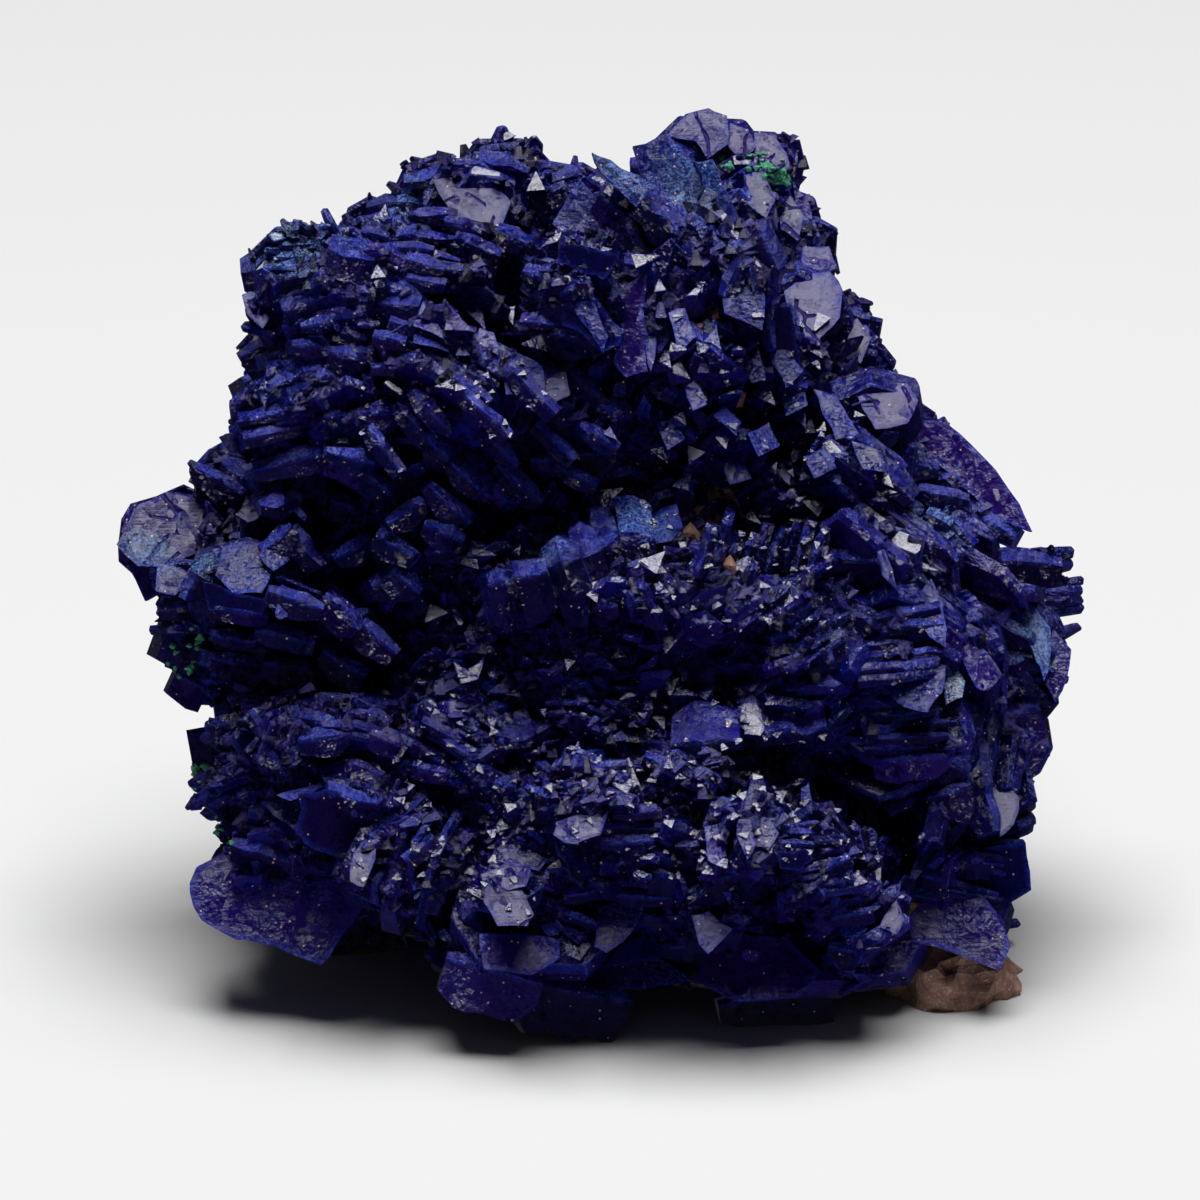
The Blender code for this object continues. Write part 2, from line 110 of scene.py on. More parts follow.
def newPiece(name, stock, materials, slot, *nodes):
    mesh = bpy.data.meshes.new(name)
    sizes = np.array(stock["sizes"], np.int32)
    mesh.vertices.add(len(stock["points"]))
    mesh.vertices.foreach_set("co", np.array(stock["points"], np.float32).ravel())
    mesh.loops.add(len(stock["corners"]))
    mesh.loops.foreach_set("vertex_index", np.array(stock["corners"], np.int32))
    mesh.polygons.add(len(sizes))
    mesh.polygons.foreach_set("loop_start", np.concatenate(([0], np.cumsum(sizes)[:-1])).astype(np.int32))
    mesh.polygons.foreach_set("material_index", np.array(stock["kinds"], np.int32))
    mesh.uv_layers.new(name="grain").data.foreach_set("uv", np.array(stock["grain"], np.float32).ravel())
    finish = mesh.color_attributes.new(name="finish", type="FLOAT_COLOR", domain="CORNER")
    finish.data.foreach_set("color", np.array(stock["finish"], np.float32).ravel())
    mesh.update(calc_edges=True)
    mesh.validate()
    mesh.shade_flat()
    piece = bpy.data.objects.new(name, mesh)
    bpy.context.scene.collection.objects.link(piece)
    for material in materials:
        mesh.materials.append(material)
    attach(piece, "root")
    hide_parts(*nodes)
    mesh.calc_loop_triangles()
    print(name, len(mesh.loop_triangles), "triangles")
    return piece


# A crystal starts as a flat outline in its own plane: across the page, and back from its outer end,
# as shares of its width. It thins to outerShare of its thickness at the outer end.
outlines = {
    "slab": ((0.50, -0.26), (0.30, 0.0), (-0.38, 0.0), (-0.50, -0.16)),
    "block": ((0.50, -0.34), (0.22, 0.0), (-0.30, 0.02), (-0.50, -0.24)),
    "petal": ((0.50, -0.40), (0.20, 0.0), (-0.22, -0.04), (-0.50, -0.44)),
    "tooth": ((0.50, -0.60), (0.04, 0.0), (-0.50, -0.50)),
    "rhomb": ((0.50, -0.55), (0.12, 0.0), (-0.26, -0.10), (-0.50, -0.42)),
    "chisel": ((0.50, -0.30), (0.36, 0.0), (-0.10, 0.03), (-0.50, -0.34)),
}
outerShare = {"slab": 0.75, "block": 0.60, "petal": 0.55, "tooth": 0.25, "rhomb": 0.5, "chisel": 0.6}


def wholeOf(bm):
    return bm.verts[:] + bm.edges[:] + bm.faces[:]


def cutAway(bm, point, normal, kind=0):  # takes off what lies past a plane and closes the cut
    cut = bmesh.ops.bisect_plane(bm, geom=wholeOf(bm), dist=1e-7, plane_co=point, plane_no=normal,
                                 clear_outer=True)
    ring = [item for item in cut["geom_cut"] if isinstance(item, bmesh.types.BMEdge)]
    if len(ring) > 2:
        bmesh.ops.edgeloop_fill(bm, edges=ring, mat_nr=kind)


def cutOutline(form, width, length, rng, stray):
    bm = bmesh.new()
    flip, skew = rng.choice((-1, 1)), rng.uniform(-2.5, 2.5) * stray
    ends = [(x * flip + rng.gauss(0, stray), y + skew * x + rng.gauss(0, stray)) for x, y in outlines[form]]
    corners = [(-0.42 * width, -length), (0.42 * width, -length)]
    corners += [(x * width, y * width) for x, y in (ends if flip == 1 else ends[::-1])]
    bm.faces.new([bm.verts.new((x * mm, y * mm, 0)) for x, y in corners])
    return bm, corners


def thicken(bm, form, length, low, high):  # low and high are the two faces' places through the page
    plate = list(bm.faces)
    for vert in bm.verts:
        vert.co.z = low * mm
    grown = bmesh.ops.extrude_face_region(bm, geom=plate)["geom"]
    raised = [item for item in grown if isinstance(item, bmesh.types.BMVert)]
    bmesh.ops.translate(bm, verts=raised, vec=(0, 0, (high - low) * mm))
    for vert in bm.verts:
        outwards = min(1.0, max(0.0, 1 + vert.co.y / (length * mm)))
        vert.co.z *= 1 - (1 - outerShare[form]) * outwards
    bmesh.ops.recalc_face_normals(bm, faces=bm.faces)


def facetRim(bm, corners, low, high, rng, slant):
    # each outer side runs to a ridge between two slanting facets, and some corners are nipped off
    middle = Vector((0, corners[0][1] * 0.5))
    for start, end in zip(corners[2:], corners[3:]):
        start, end = Vector(start), Vector(end)
        along = (end - start).normalized()
        side = Vector((along.y, -along.x))
        if side.dot((start + end) * 0.5 - middle) < 0:
            side = -side
        ridge = low + (high - low) * rng.uniform(0.25, 0.75)
        foot = (start + end) * 0.5 - side * rng.uniform(0.0, 0.10)
        for level in (high, low):
            reach = rng.uniform(*slant) * min(high - low, 1.6)
            drop = abs(level - ridge)
            normal = Vector((side.x * drop, side.y * drop, math.copysign(reach, level - ridge)))
            cutAway(bm, Vector((foot.x, foot.y, ridge)) * mm, normal.normalized())


def lineEdges(bm, size):  # a narrow worn line along every edge that stands out
    bm.normal_update()
    sharp = [edge for edge in bm.edges if len(edge.link_faces) == 2 and edge.calc_face_angle(0) > 0.35]
    made = bmesh.ops.bevel(bm, geom=sharp, offset=size * mm, offset_type="OFFSET", segments=1, profile=0.5,
                           affect="EDGES", clamp_overlap=True, material=-1)
    for face in made["faces"]:
        face.material_index = 2


def paintFinish(bm, length, tone, gleam, shade, rng):
    # finish holds wear, tone from blue to violet, gleam, and a shade of its own for each page
    bm.normal_update()
    grain = bm.loops.layers.uv.new("grain")
    finish = bm.loops.layers.float_color.new("finish")
    shiftU, shiftV = rng.uniform(0, 9), rng.uniform(0, 9)
    for face in bm.faces:
        flat = abs(face.normal.z) > 0.93
        wear = (0.0 if flat else rng.uniform(0.0, 0.5), 0.0, 0.9)[face.material_index]
        shine = (gleam if flat else rng.uniform(0.2, 1.0), 1.0, 0.5)[face.material_index]
        for loop in face.loops:
            x, y, z = (value / (10 * mm) for value in loop.vert.co)
            outwards = min(1.0, max(0.0, 1.2 + loop.vert.co.y / (0.8 * length * mm)))
            loop[finish] = (wear * outwards, tone, shine, shade)
            loop[grain].uv = (x + shiftU, y + shiftV) if flat else (x + y + shiftU, z + shiftV)
        face.material_index = 2 if face.material_index == 1 else 0


def ownTone(look, rng):
    return min(1.0, max(0.0, rng.gauss(look["tone"], 0.18)))


def cutAtGround(bm):
    if min(vert.co.z for vert in bm.verts) < 0:
        cut = bmesh.ops.bisect_plane(bm, geom=wholeOf(bm), dist=1e-7, plane_co=(0, 0, 0), plane_no=(0, 0, -1),
                                     clear_outer=True)
        ring = [item for item in cut["geom_cut"] if isinstance(item, bmesh.types.BMEdge)]
        bmesh.ops.holes_fill(bm, edges=ring, sides=0)


def growPyramid(stock, axes, place, width, rng, look):  # a blunt wedge with three to five faces
    bm = bmesh.new()
    bmesh.ops.create_cone(bm, cap_ends=True, segments=rng.choice((3, 4, 4, 5)), radius1=0.62 * width * mm,
                          radius2=rng.uniform(0.03, 0.14) * width * mm, depth=1.1 * width * mm)
    turn = Matrix.Rotation(-0.5 * math.pi, 4, "X") @ Matrix.Rotation(rng.uniform(0, 6.28), 4, "Z")
    bm.transform(Matrix.Diagonal((1.0, 1.0, rng.uniform(0.5, 1.0), 1.0)) @ turn)
    for number in range(rng.randint(0, 2)):
        way = Vector((rng.gauss(0, 0.7), 1, rng.gauss(0, 0.7))).normalized()
        cutAway(bm, way * (rng.uniform(0.22, 0.45) * width * mm), way)
    if look["glint"] > rng.random():
        normal = (axes.transposed() @ (lampMirror + straying(rng, 0.07))).normalized()
        cutAway(bm, normal * (rng.uniform(0.22, 0.4) * width * mm), normal, 1)
    lineEdges(bm, look["line"])
    tone = ownTone(look, rng)
    paintFinish(bm, 1.6 * width, tone, rng.uniform(*look["gleam"]), rng.random(), rng)
    bm.transform(Matrix.Translation(place) @ axes.to_4x4())
    takeIn(stock, bm)


# a sharp tooth with one polished side turned to the lamp
def growWedge(stock, axes, place, width, rng, look):
    bm = bmesh.new()
    bmesh.ops.create_cone(bm, cap_ends=True, segments=rng.choice((3, 4)), radius1=0.62 * width * mm,
                          radius2=rng.uniform(0.0, 0.06) * width * mm,
                          depth=rng.uniform(0.9, 1.3) * width * mm)
    bm.transform(Matrix.Diagonal((1.0, rng.uniform(0.7, 1.0), 1.0, 1.0)))
    bm.normal_update()
    side = max(bm.faces, key=lambda face: face.calc_area() * (face.normal.z > -0.5))
    side.material_index = 1
    aim = (lampMirror + straying(rng, look["aim"])).normalized()
    turn = side.normal.rotation_difference(aim).to_matrix()
    upright = turn @ Vector((0, 0, 1))
    here = upright - aim * upright.dot(aim)
    wanted = axes.col[1] - aim * axes.col[1].dot(aim)
    spin = math.atan2(aim.dot(here.cross(wanted)), here.dot(wanted)) + rng.gauss(0, 0.35)
    turn = Matrix.Rotation(spin, 3, aim) @ turn
    lineEdges(bm, look["line"])
    tone = ownTone(look, rng)
    paintFinish(bm, 60, tone, rng.uniform(*look["gleam"]), rng.random(), rng)
    bm.transform(Matrix.Translation(place) @ turn.to_4x4())
    takeIn(stock, bm)


def growCrystal(stock, axes, place, form, width, length, low, high, rng, look):
    bm, corners = cutOutline(form, width, length, rng, look["stray"])
    thicken(bm, form, length, low, high)
    facetRim(bm, corners, low * outerShare[form], high * outerShare[form], rng, look["slant"])
    if look["glint"] > rng.random():
        normal = (axes.transposed() @ (lampMirror + straying(rng, 0.07))).normalized()
        furthest = max(bm.verts, key=lambda vert: vert.co.dot(normal)).co.copy()
        if furthest.y > -0.45 * length * mm:
            cutAway(bm, furthest - normal * (rng.uniform(*look["facet"]) * width * mm), normal, 1)
    lineEdges(bm, look["line"])
    tone = ownTone(look, rng)
    paintFinish(bm, length, tone, rng.uniform(*look["gleam"]), rng.random(), rng)
    bm.transform(Matrix.Translation(place) @ axes.to_4x4())
    cutAtGround(bm)
    takeIn(stock, bm)


# The lumps that every crystal is rooted in: name, across, up, out, then their radii the same ways.
bodyLumps = (
    ("heart", 0, -5, -2, 24, 20, 16),
    ("upper_left", -12, 12, 1, 10, 11, 13),
    ("upper_middle", 4, 15, 2, 10, 12, 13),
    ("upper_back", 6, 14, -6, 11, 11, 10),
    ("left_arm", -21, -1, -2, 8, 8, 10),
    ("left_foot", -15, -15, 1, 11, 10, 13),
    ("left_heel", -12, -15, -11, 14, 12, 11),
    ("right_shoulder", 16, 4, -3, 9, 9, 12),
    ("right_arm", 21, -8, -4, 9, 14, 13),
    ("right_heel", 15, -17, -10, 13, 12, 12),
    ("brow", 2, -2, 9, 12, 4, 8),
    ("fan_root", 14, -6, 5, 8, 8, 10),
    ("lower_front", 3, -18, 5, 16, 9, 13),
    ("foot", 8, -20, -2, 19, 10, 14),
)


def lumpMesh(name, across, up, out, radii, subdivisions):
    rng = random.Random(name)
    bm = bmesh.new()
    bmesh.ops.create_icosphere(bm, subdivisions=subdivisions, radius=1.0)
    for vert in bm.verts:
        push = rng.uniform(0.92, 1.08)
        x, y, z = (share * (radius * push) for share, radius in zip(vert.co, radii))
        vert.co = onFace(across + x, up + y, out + z)
    return bm


# Small books grow between the large pages: how many spots are kept, how wide and thick a page is and how
# many there are, how far they stand out, and the shares that are pyramids, wedges, turned wildly, or kept
# on large pages.
usualBooks = {
    "keep": 1.0, "width": (1.8, 4.2), "thick": (0.9, 1.9), "pages": (1, 2), "stand": (0.3, 1.3),
    "pyramids": 0.3, "wedges": 0, "wild": 0, "onPages": 0,
}

# A region's groups of large pages: name, across, up, how far out of the lumps, yaw and lean of the way it
# looks, slope of its pages, how many, how wide they fan, their width and thickness, and their outline.
upperLeft = {
    "piece": "upper_left_crystals", "tone": 0.3, "glint": 0.06, "bare": (),
    "small": {"form": ("slab", "chisel", "tooth"), "stand": (0.3, 1.9), "wedges": 0.35, "wild": 0.2,
              "onPages": 0.3},
    "groups": (
        ("dusted_block", -18, 18, 0.5, -25, 50, -12, 2, 14, 7.5, 3.4, "block"),
        ("left_cheek", -20.5, 18, 0, -60, 15, 10, 2, 20, 5, 2.6, "block"),
        ("upper_shelf", -14.5, 17, 1.5, -5, 45, -8, 2, 8, 8.5, 1.8, "slab"),
        ("left_prong", -20.5, 14, 0.5, -55, 5, 20, 2, 25, 5.5, 1.6, "slab"),
        ("middle_shelf", -17, 14, 1.5, -15, 40, -10, 2, 12, 6.5, 1.5, "slab"),
        ("slanted_shelf", -18.5, 12, 1.5, -25, 35, 25, 2, 10, 7, 1.6, "slab"),
        ("striped_bar", -18.5, 9.5, 1.5, -30, 25, 18, 3, 8, 8.5, 1.2, "slab"),
        ("dark_petals", -18, 5.5, 1.5, -20, 50, 25, 3, 18, 8, 1.5, "petal"),
        ("top_leaves", -12.5, 22, 0.5, -10, 55, -5, 3, 28, 5.5, 1.3, "petal"),
        ("stacked_leaves", -9.5, 19, 1, 5, 45, -12, 4, 26, 7, 1.2, "slab"),
        ("mirror_block", -8, 24, 2, 10, 75, -25, 1, 0, 6.5, 4, "block"),
        ("crown_block", -5.5, 25, -1.5, 10, 70, -15, 1, 0, 6.5, 4.5, "block"),
        ("shoulder_block", -10.5, 24, -1, -15, 65, 10, 1, 0, 6, 4, "block"),
        ("grey_teeth", -9.5, 15, 1.5, 0, 45, 0, 3, 30, 3, 1.6, "tooth"),
        ("slope_blades", -8.5, 11.5, 1.5, 15, 30, -40, 4, 32, 8, 1.3, "slab"),
        ("slope_foot", -7, 6.5, 1, 20, 15, -42, 3, 30, 6.5, 1.2, "slab"),
        ("ruffle", -11, 3.5, 1.5, 5, 25, 40, 3, 40, 5, 1.4, "petal"),
        ("ruffle_foot", -12.5, 0, 1, 0, 20, 65, 2, 35, 4.5, 1.4, "petal"),
        ("side_petal", -16.5, 1.5, 1, -10, 35, 50, 2, 30, 4.5, 1.4, "petal"),
    ),
}

topMiddle = {
    "piece": "top_middle_crystals", "tone": 0.35, "glint": 0.08, "bare": (),
    "small": {"form": ("rhomb", "chisel", "tooth"), "stand": (0.3, 1.9), "wedges": 0.06},
    "groups": (
        ("back_lumps", -2, 24.5, -1, -10, 65, -10, 2, 30, 4.5, 2.4, "block"),
        ("round_petal", -0.5, 17.5, 3, -10, 55, -5, 2, 15, 5.5, 1.6, "petal"),
        ("cross_blades", 8.5, 20, 2, 20, 30, -65, 3, 40, 8, 1.6, "slab"),
        ("small_blue", -4, 15.5, 1, -10, 30, -30, 2, 30, 3.5, 1.1, "slab"),
        ("valley_teeth", -4.5, 19.5, 0, 0, 50, -10, 2, 30, 3.5, 1.5, "tooth"),
        ("pearl_block", -3, 11, 2, 0, 50, -10, 1, 0, 4.5, 3.4, "block"),
        ("blue_ledge", -0.5, 7, 2, 0, 35, 8, 2, 12, 5.5, 1.3, "slab"),
        ("bright_tooth", 0.5, 10, 1.5, 10, 45, 60, 2, 20, 3.5, 1.3, "tooth"),
    ),
}

backRight = {
    "piece": "back_right_crystals", "tone": 0.55, "glint": 0.08,
    "bare": ("mirror_plate", "grey_crown", "lower_mirror"),
    "small": {"form": ("block", "rhomb", "tooth"), "width": (1.8, 3.6), "stand": (0.3, 1.2)},
    "groups": (
        ("grey_crown", 8.5, 26, -1.5, 5, 70, 10, 1, 0, 7.5, 5, "block"),
        ("green_block", 10.5, 25, -1, 20, 65, 5, 2, 18, 6, 4, "block"),
        ("back_knob", 12.5, 22.5, -0.5, 35, 55, 0, 2, 25, 5, 3.2, "block"),
        ("back_plates", 11.5, 21, 0.5, 25, 45, -60, 2, 25, 5.5, 1.8, "slab"),
        ("mirror_plate", 14, 17, 1.5, 35, 60, 10, 1, 0, 6.5, 4, "block"),
        ("side_block", 16.5, 14.5, 0, 40, 40, 5, 2, 25, 5, 3.4, "block"),
        ("lower_mirror", 18.5, 10, 0, 40, 50, 0, 1, 0, 6, 3.6, "block"),
        ("dark_knobs", 16, 13, 1, 30, 30, -50, 2, 25, 5, 2.4, "block"),
    ),
}

wedgeRows = {
    "piece": "wedge_row_crystals", "tone": 0.35, "glint": 0.5, "bare": (),
    "small": {"form": ("tooth", "tooth", "rhomb"), "width": (1.6, 2.8), "thick": (0.7, 1.3),
              "stand": (1.4, 2.8), "pyramids": 0.35, "wedges": 0.6, "onPages": 0.7},
    "groups": (
        ("wedges_high_left", 7.5, 14, 1.5, 10, 40, 15, 3, 30, 4.5, 1.5, "tooth"),
        ("wedges_high_right", 12, 13.5, 1.5, 20, 40, -20, 3, 30, 4.5, 1.5, "tooth"),
        ("wedges_middle_left", 8, 9, 1, 5, 45, 10, 3, 30, 4.5, 1.5, "tooth"),
        ("wedges_middle_right", 13, 9, 1.5, 20, 45, -15, 3, 30, 5, 1.6, "tooth"),
        ("wedges_low", 10.5, 5.5, 0.5, 10, 50, 5, 3, 30, 4.5, 1.5, "tooth"),
        ("wedges_edge", 17, 6.5, 1.5, 30, 40, -35, 3, 30, 6, 1.6, "slab"),
    ),
}

rightFan = {
    "piece": "right_fan_crystals", "tone": 0.45, "glint": 0.1, "bare": (),
    "small": {"form": ("petal", "block", "petal"), "keep": 0.85, "width": (2.8, 5.0), "thick": (1.2, 2.2),
              "stand": (0.0, 0.7), "pyramids": 0.0, "onPages": 0.06},
    "groups": (
        ("blue_blades", 18, 0.5, 3, 30, 40, -45, 3, 30, 8, 1.6, "slab"),
        ("fan_right", 21, -4, 2, 45, 15, -15, 3, 30, 7, 1.6, "slab"),
        ("fan_dome", 20, -7.5, 3, 35, -5, 5, 2, 15, 6.5, 2.6, "petal"),
        ("fan_leaves", 20, -11.5, 2.5, 25, -25, 4, 4, 28, 8, 1.1, "petal"),
        ("fan_heart", 13.5, -3.5, 1, 20, 5, 30, 3, 40, 5, 1.4, "tooth"),
    ),
}

lowerFace = {
    "piece": "lower_face_crystals", "tone": 0.45, "glint": 0.22, "bare": ("bright_square",),
    "small": {"form": ("chisel", "tooth", "rhomb"), "width": (1.2, 2.6), "thick": (0.6, 1.3),
              "pyramids": 0.35, "wedges": 0.3, "wild": 0.35, "onPages": 0.4},
    "groups": (
        ("v_mirror", -8, -6.5, 1.5, -10, 25, -20, 2, 20, 4, 1.4, "tooth"),
        ("diagonal_plates", -9, -11, 1.5, -15, 20, -35, 4, 25, 6.5, 1.2, "slab"),
        ("hollow_floor", -0.5, -8, 0.5, 0, 25, -15, 3, 40, 5, 1.3, "tooth"),
        ("grey_book", -0.5, -15, 1.5, 0, 30, -25, 3, 30, 6, 1.2, "slab"),
        ("bright_square", -5.5, -21, 3, -5, -40, -20, 1, 0, 4.5, 2.4, "block"),
        ("rose_left", -11, -18.5, 2, -25, 0, 70, 4, 38, 8, 1.1, "petal"),
        ("rose_foot", -9, -23, 1.5, -25, -25, 50, 3, 35, 6.5, 1.2, "petal"),
        ("apron", -4.5, -24, 2, -10, -45, 0, 2, 12, 8.5, 1.6, "petal"),
        ("apron_tooth", -1, -23.5, 2.5, 0, -30, -35, 1, 0, 4, 1.8, "tooth"),
        ("upright_plates", 9.5, -17, 2, 10, 20, 70, 3, 25, 6, 1.4, "slab"),
        ("dark_blocks", 13.5, -19, 2, 10, 20, 15, 2, 20, 5, 2.8, "block"),
        ("pyramids", 17.5, -20, 2.5, 30, 35, 40, 3, 30, 5.5, 2.6, "tooth"),
        ("pyramid_foot", 16.5, -24, 2, 20, 5, 45, 2, 25, 5.5, 2.6, "tooth"),
        ("small_pyramid", 7.5, -20.5, 2, 5, 40, 5, 1, 0, 4, 2.6, "tooth"),
        ("upper_chips", -2, -11.5, 1, 0, 30, 30, 2, 40, 4.5, 1.4, "tooth"),
        ("right_chips", 6, -13.5, 1, 10, 20, -30, 2, 35, 5, 1.4, "slab"),
    ),
}

leftSide = {
    "piece": "left_side_crystals", "tone": 0.35, "glint": 0.08, "bare": ("mirror_tablet", "glazed_block"),
    "small": {"form": ("block", "chisel", "rhomb"), "width": (1.6, 3.4), "thick": (1.1, 2.0),
              "pages": (1, 1), "stand": (0.2, 1.1), "pyramids": 0.5, "wild": 0.12},
    "groups": (
        ("mirror_tablet", -27.5, 1.5, 0.5, -50, 35, -8, 1, 0, 8, 3.6, "block"),
        ("under_tablet", -26, -2, -0.5, -60, 0, 0, 2, 20, 5.5, 3, "block"),
        ("glazed_block", -23, -1, 2, -30, 40, -8, 1, 0, 7.5, 3.6, "block"),
        ("parallel_block", -22, 5.5, 0, -35, 40, -35, 2, 10, 6.5, 2.6, "slab"),
        ("cheek_tooth", -20.5, 3.5, 2, -15, 45, 30, 1, 0, 4, 2, "tooth"),
        ("cheek_pyramid", -20, 0.5, 2, -15, 45, 0, 1, 0, 4.5, 3, "tooth"),
        ("low_knobs", -24.5, -6.5, -1, -50, -10, 5, 2, 20, 5, 3, "block"),
        ("green_knob", -23, -12.5, -1, -50, -5, 15, 2, 18, 6, 3.8, "block"),
        ("inner_petals", -16, -3.5, 1, -10, 5, 60, 2, 35, 5, 1.6, "petal"),
    ),
}

footTablets = {
    "piece": "foot_crystals", "tone": 0.65, "glint": 0.08,
    "bare": ("rolled_edge", "lavender_block", "dark_sill"),
    "small": {"form": ("block", "chisel", "rhomb"), "width": (1.6, 3.4), "thick": (1.1, 2.0),
              "pages": (1, 1), "stand": (0.2, 1.1), "pyramids": 0.5, "wild": 0.12},
    "groups": (
        ("round_pages", -20, -11, 1.5, -30, 10, 60, 3, 35, 5.5, 1.9, "petal"),
        ("lit_block", -16, -10.5, 1.5, -15, 30, -10, 2, 25, 5.5, 2, "block"),
        ("pale_post", -14.5, -18.5, 2, -10, 20, 70, 1, 0, 4, 1.8, "slab"),
        ("rolled_edge", 14, -25.5, 2, 25, -55, -35, 1, 0, 6.5, 3, "slab"),
        ("lavender_block", 18, -25, 1, 20, -60, 10, 1, 0, 6, 4, "block"),
        ("dark_sill", -4.5, -23, 0.5, -5, -65, -14, 1, 0, 10, 4, "slab"),
    ),
}

rightSide = {
    "piece": "right_side_crystals", "tone": 0.45, "glint": 0.08, "bare": ("dark_cheek",),
    "small": {"form": ("petal", "block", "rhomb"), "keep": 0.85, "width": (2.6, 4.8), "thick": (1.4, 2.6),
              "stand": (0.0, 0.7), "pyramids": 0.1, "wild": 0.1},
    "groups": (
        ("right_knuckle", 29.5, -1, 0.5, 70, 5, 5, 2, 15, 5, 2.8, "block"),
        ("right_curl", 27.5, -4.5, 0, 55, 5, -30, 3, 25, 7, 1.6, "petal"),
        ("right_back", 28, -6.5, -1, 65, 0, -10, 1, 0, 6, 3.6, "block"),
        ("right_leaves", 23.5, -6, 0.5, 35, 5, -55, 3, 30, 7, 1.5, "petal"),
        ("right_cheek", 25.5, -12.5, 0, 55, -5, 70, 1, 0, 8.5, 4.5, "block"),
        ("right_mirror", 25.5, -16, 1, 40, 25, 30, 1, 0, 5, 3, "block"),
        ("upper_cheek", 23, 2, 0, 40, 30, -35, 3, 30, 6.5, 2.2, "slab"),
        ("right_spike", 25.5, -20, 0, 60, -10, -10, 2, 20, 5, 2.4, "tooth"),
        ("blue_knobs", 22.5, -18.5, 1, 30, 5, 50, 2, 30, 4.5, 2.4, "block"),
        ("tall_leaves", 23, -13, 1, 35, 0, 75, 3, 22, 7.5, 1.5, "slab"),
        ("dark_cheek", 23, -22.5, 1, 35, 20, -20, 1, 0, 8.5, 4, "slab"),
        ("corner_block", 25.5, -22.5, 0, 55, 0, 0, 1, 0, 6, 4, "block"),
    ),
}

# The sides and the back that the show face turns away from.
farSide = {
    "piece": "far_side_crystals", "tone": 0.40, "glint": 0.05, "bare": (),
    "small": {"form": ("block", "chisel", "rhomb"), "stand": (0.3, 1.4), "pyramids": 0.25},
    "start": math.radians(80), "directions": 84, "lowest": -0.35, "sink": 3.0,
    "widths": (8, 10, 12), "thicknesses": (3.6, 4.6, 5.6),
}

regions = (upperLeft, topMiddle, backRight, wedgeRows, rightFan, lowerFace, leftSide, footTablets, rightSide)
goldenAngle = math.pi * (3 - math.sqrt(5))


# every group as a row: region, name, tip, outward, slope, pages, fan, width, thick, form
def groupPlaces(tree):
    rows = []
    for region in regions:
        for name, across, up, rise, yaw, lean, slope, pages, fan, width, thick, form in region["groups"]:
            hit = tree.ray_cast(onFace(across, up, showFace["reach"]), alongFace(0, 0, -1))[0]
            if hit is None:
                hit = onFace(across, up, -6)
            tip = hit + frontward * (rise * mm)
            rows.append((region, name, tip, facing(yaw, lean), math.radians(slope), pages, fan, width, thick,
                         form))
    return rows + farSidePlaces(tree)


def farSidePlaces(tree):  # spread evenly over the sides and the back, by the golden angle
    rows = []
    rng = random.Random(crystalSeed)
    middle = onFace(1, -5, -4)
    for step in range(farSide["directions"]):
        share = 1 - 2 * (step + 0.5) / farSide["directions"]
        ring = math.sqrt(1 - share * share)
        turn = goldenAngle * step
        outward = alongFace(ring * math.cos(turn), ring * math.sin(turn), share)
        if outward.angle(frontward) < farSide["start"] or outward.z < farSide["lowest"]:
            continue
        hit = tree.ray_cast(middle + outward * (showFace["reach"] * mm), -outward)[0]
        tip = hit - outward * (farSide["sink"] * mm)
        leaning = (outward + Vector((0, 0, rng.uniform(0.0, 0.6)))).normalized()
        slope = rng.uniform(-1.2, 1.2)
        number = len(rows)
        width = farSide["widths"][number % 3]
        thick = farSide["thicknesses"][(number + number // 3) % 3]
        form = ("block", "slab", "petal")[number % 3]
        rows.append((farSide, f"far_{number}", tip, leaning, slope, 1, 0, width, thick, form))
    return rows


def pagePlaces(row):  # each page of a group: its axes, its place, width, length and thickness
    region, name, tip, outward, slope, pages, fan, width, thick, form = row
    rng = random.Random(f"{name} {crystalSeed}")
    edge, upright = turned(outward, slope)
    spacing = 0.85 * thick + 0.4
    for number in range(pages):
        share = (number + 0.5) / pages - 0.5
        ownWidth = width * rng.uniform(0.85, 1.1)
        ownThick = thick * rng.uniform(0.85, 1.15)
        turn = math.radians(fan) * share + rng.uniform(-0.06, 0.06)
        tilt = rng.uniform(-0.10, 0.10)
        twist = rng.uniform(-0.08, 0.08)
        spin = Matrix.Rotation(turn, 3, edge) @ Matrix.Rotation(tilt, 3, upright)
        spin = spin @ Matrix.Rotation(twist, 3, outward)
        axes = spin @ Matrix((edge, outward, upright)).transposed()
        place = tip + upright * (share * pages * spacing * mm)
        place += edge * (rng.uniform(-0.12, 0.12) * ownWidth * mm)
        place += outward * ((0.4 * ownWidth + rng.uniform(-0.6, 0.4)) * mm)
        yield axes, place, ownWidth, 5 + 0.35 * ownWidth, ownThick


# How pages are finished: the slant of the rim's facets, how deep a polished facet cuts, how shiny they are,
# the width of a worn edge and how far corners stray. A thick large page has layers, and others beside it.
largePages = {
    "slant": (0.05, 0.4), "facet": (0.02, 0.08), "gleam": (0.25, 0.75), "line": 0.08, "companions": (1, 3),
    "stray": 0.05, "steps": (0, 1), "layerSplits": (1.7, 2.6, 3.8),
}
smallPages = {
    "slant": (0.15, 0.8), "facet": (0.10, 0.24), "gleam": (0.2, 0.9), "line": 0.05, "stray": 0.08,
    "aim": 0.05,
}


def growBeside(stock, axes, place, form, width, half, rng, look, turns):  # a page next to a larger one
    spin = Matrix.Rotation(turns[0], 3, axes.col[0]) @ Matrix.Rotation(turns[1], 3, axes.col[2])
    form = rng.choice((form, "rhomb", "chisel"))
    growCrystal(stock, spin @ axes, place, form, width, 3 + 0.5 * width, -half, half, rng, look)


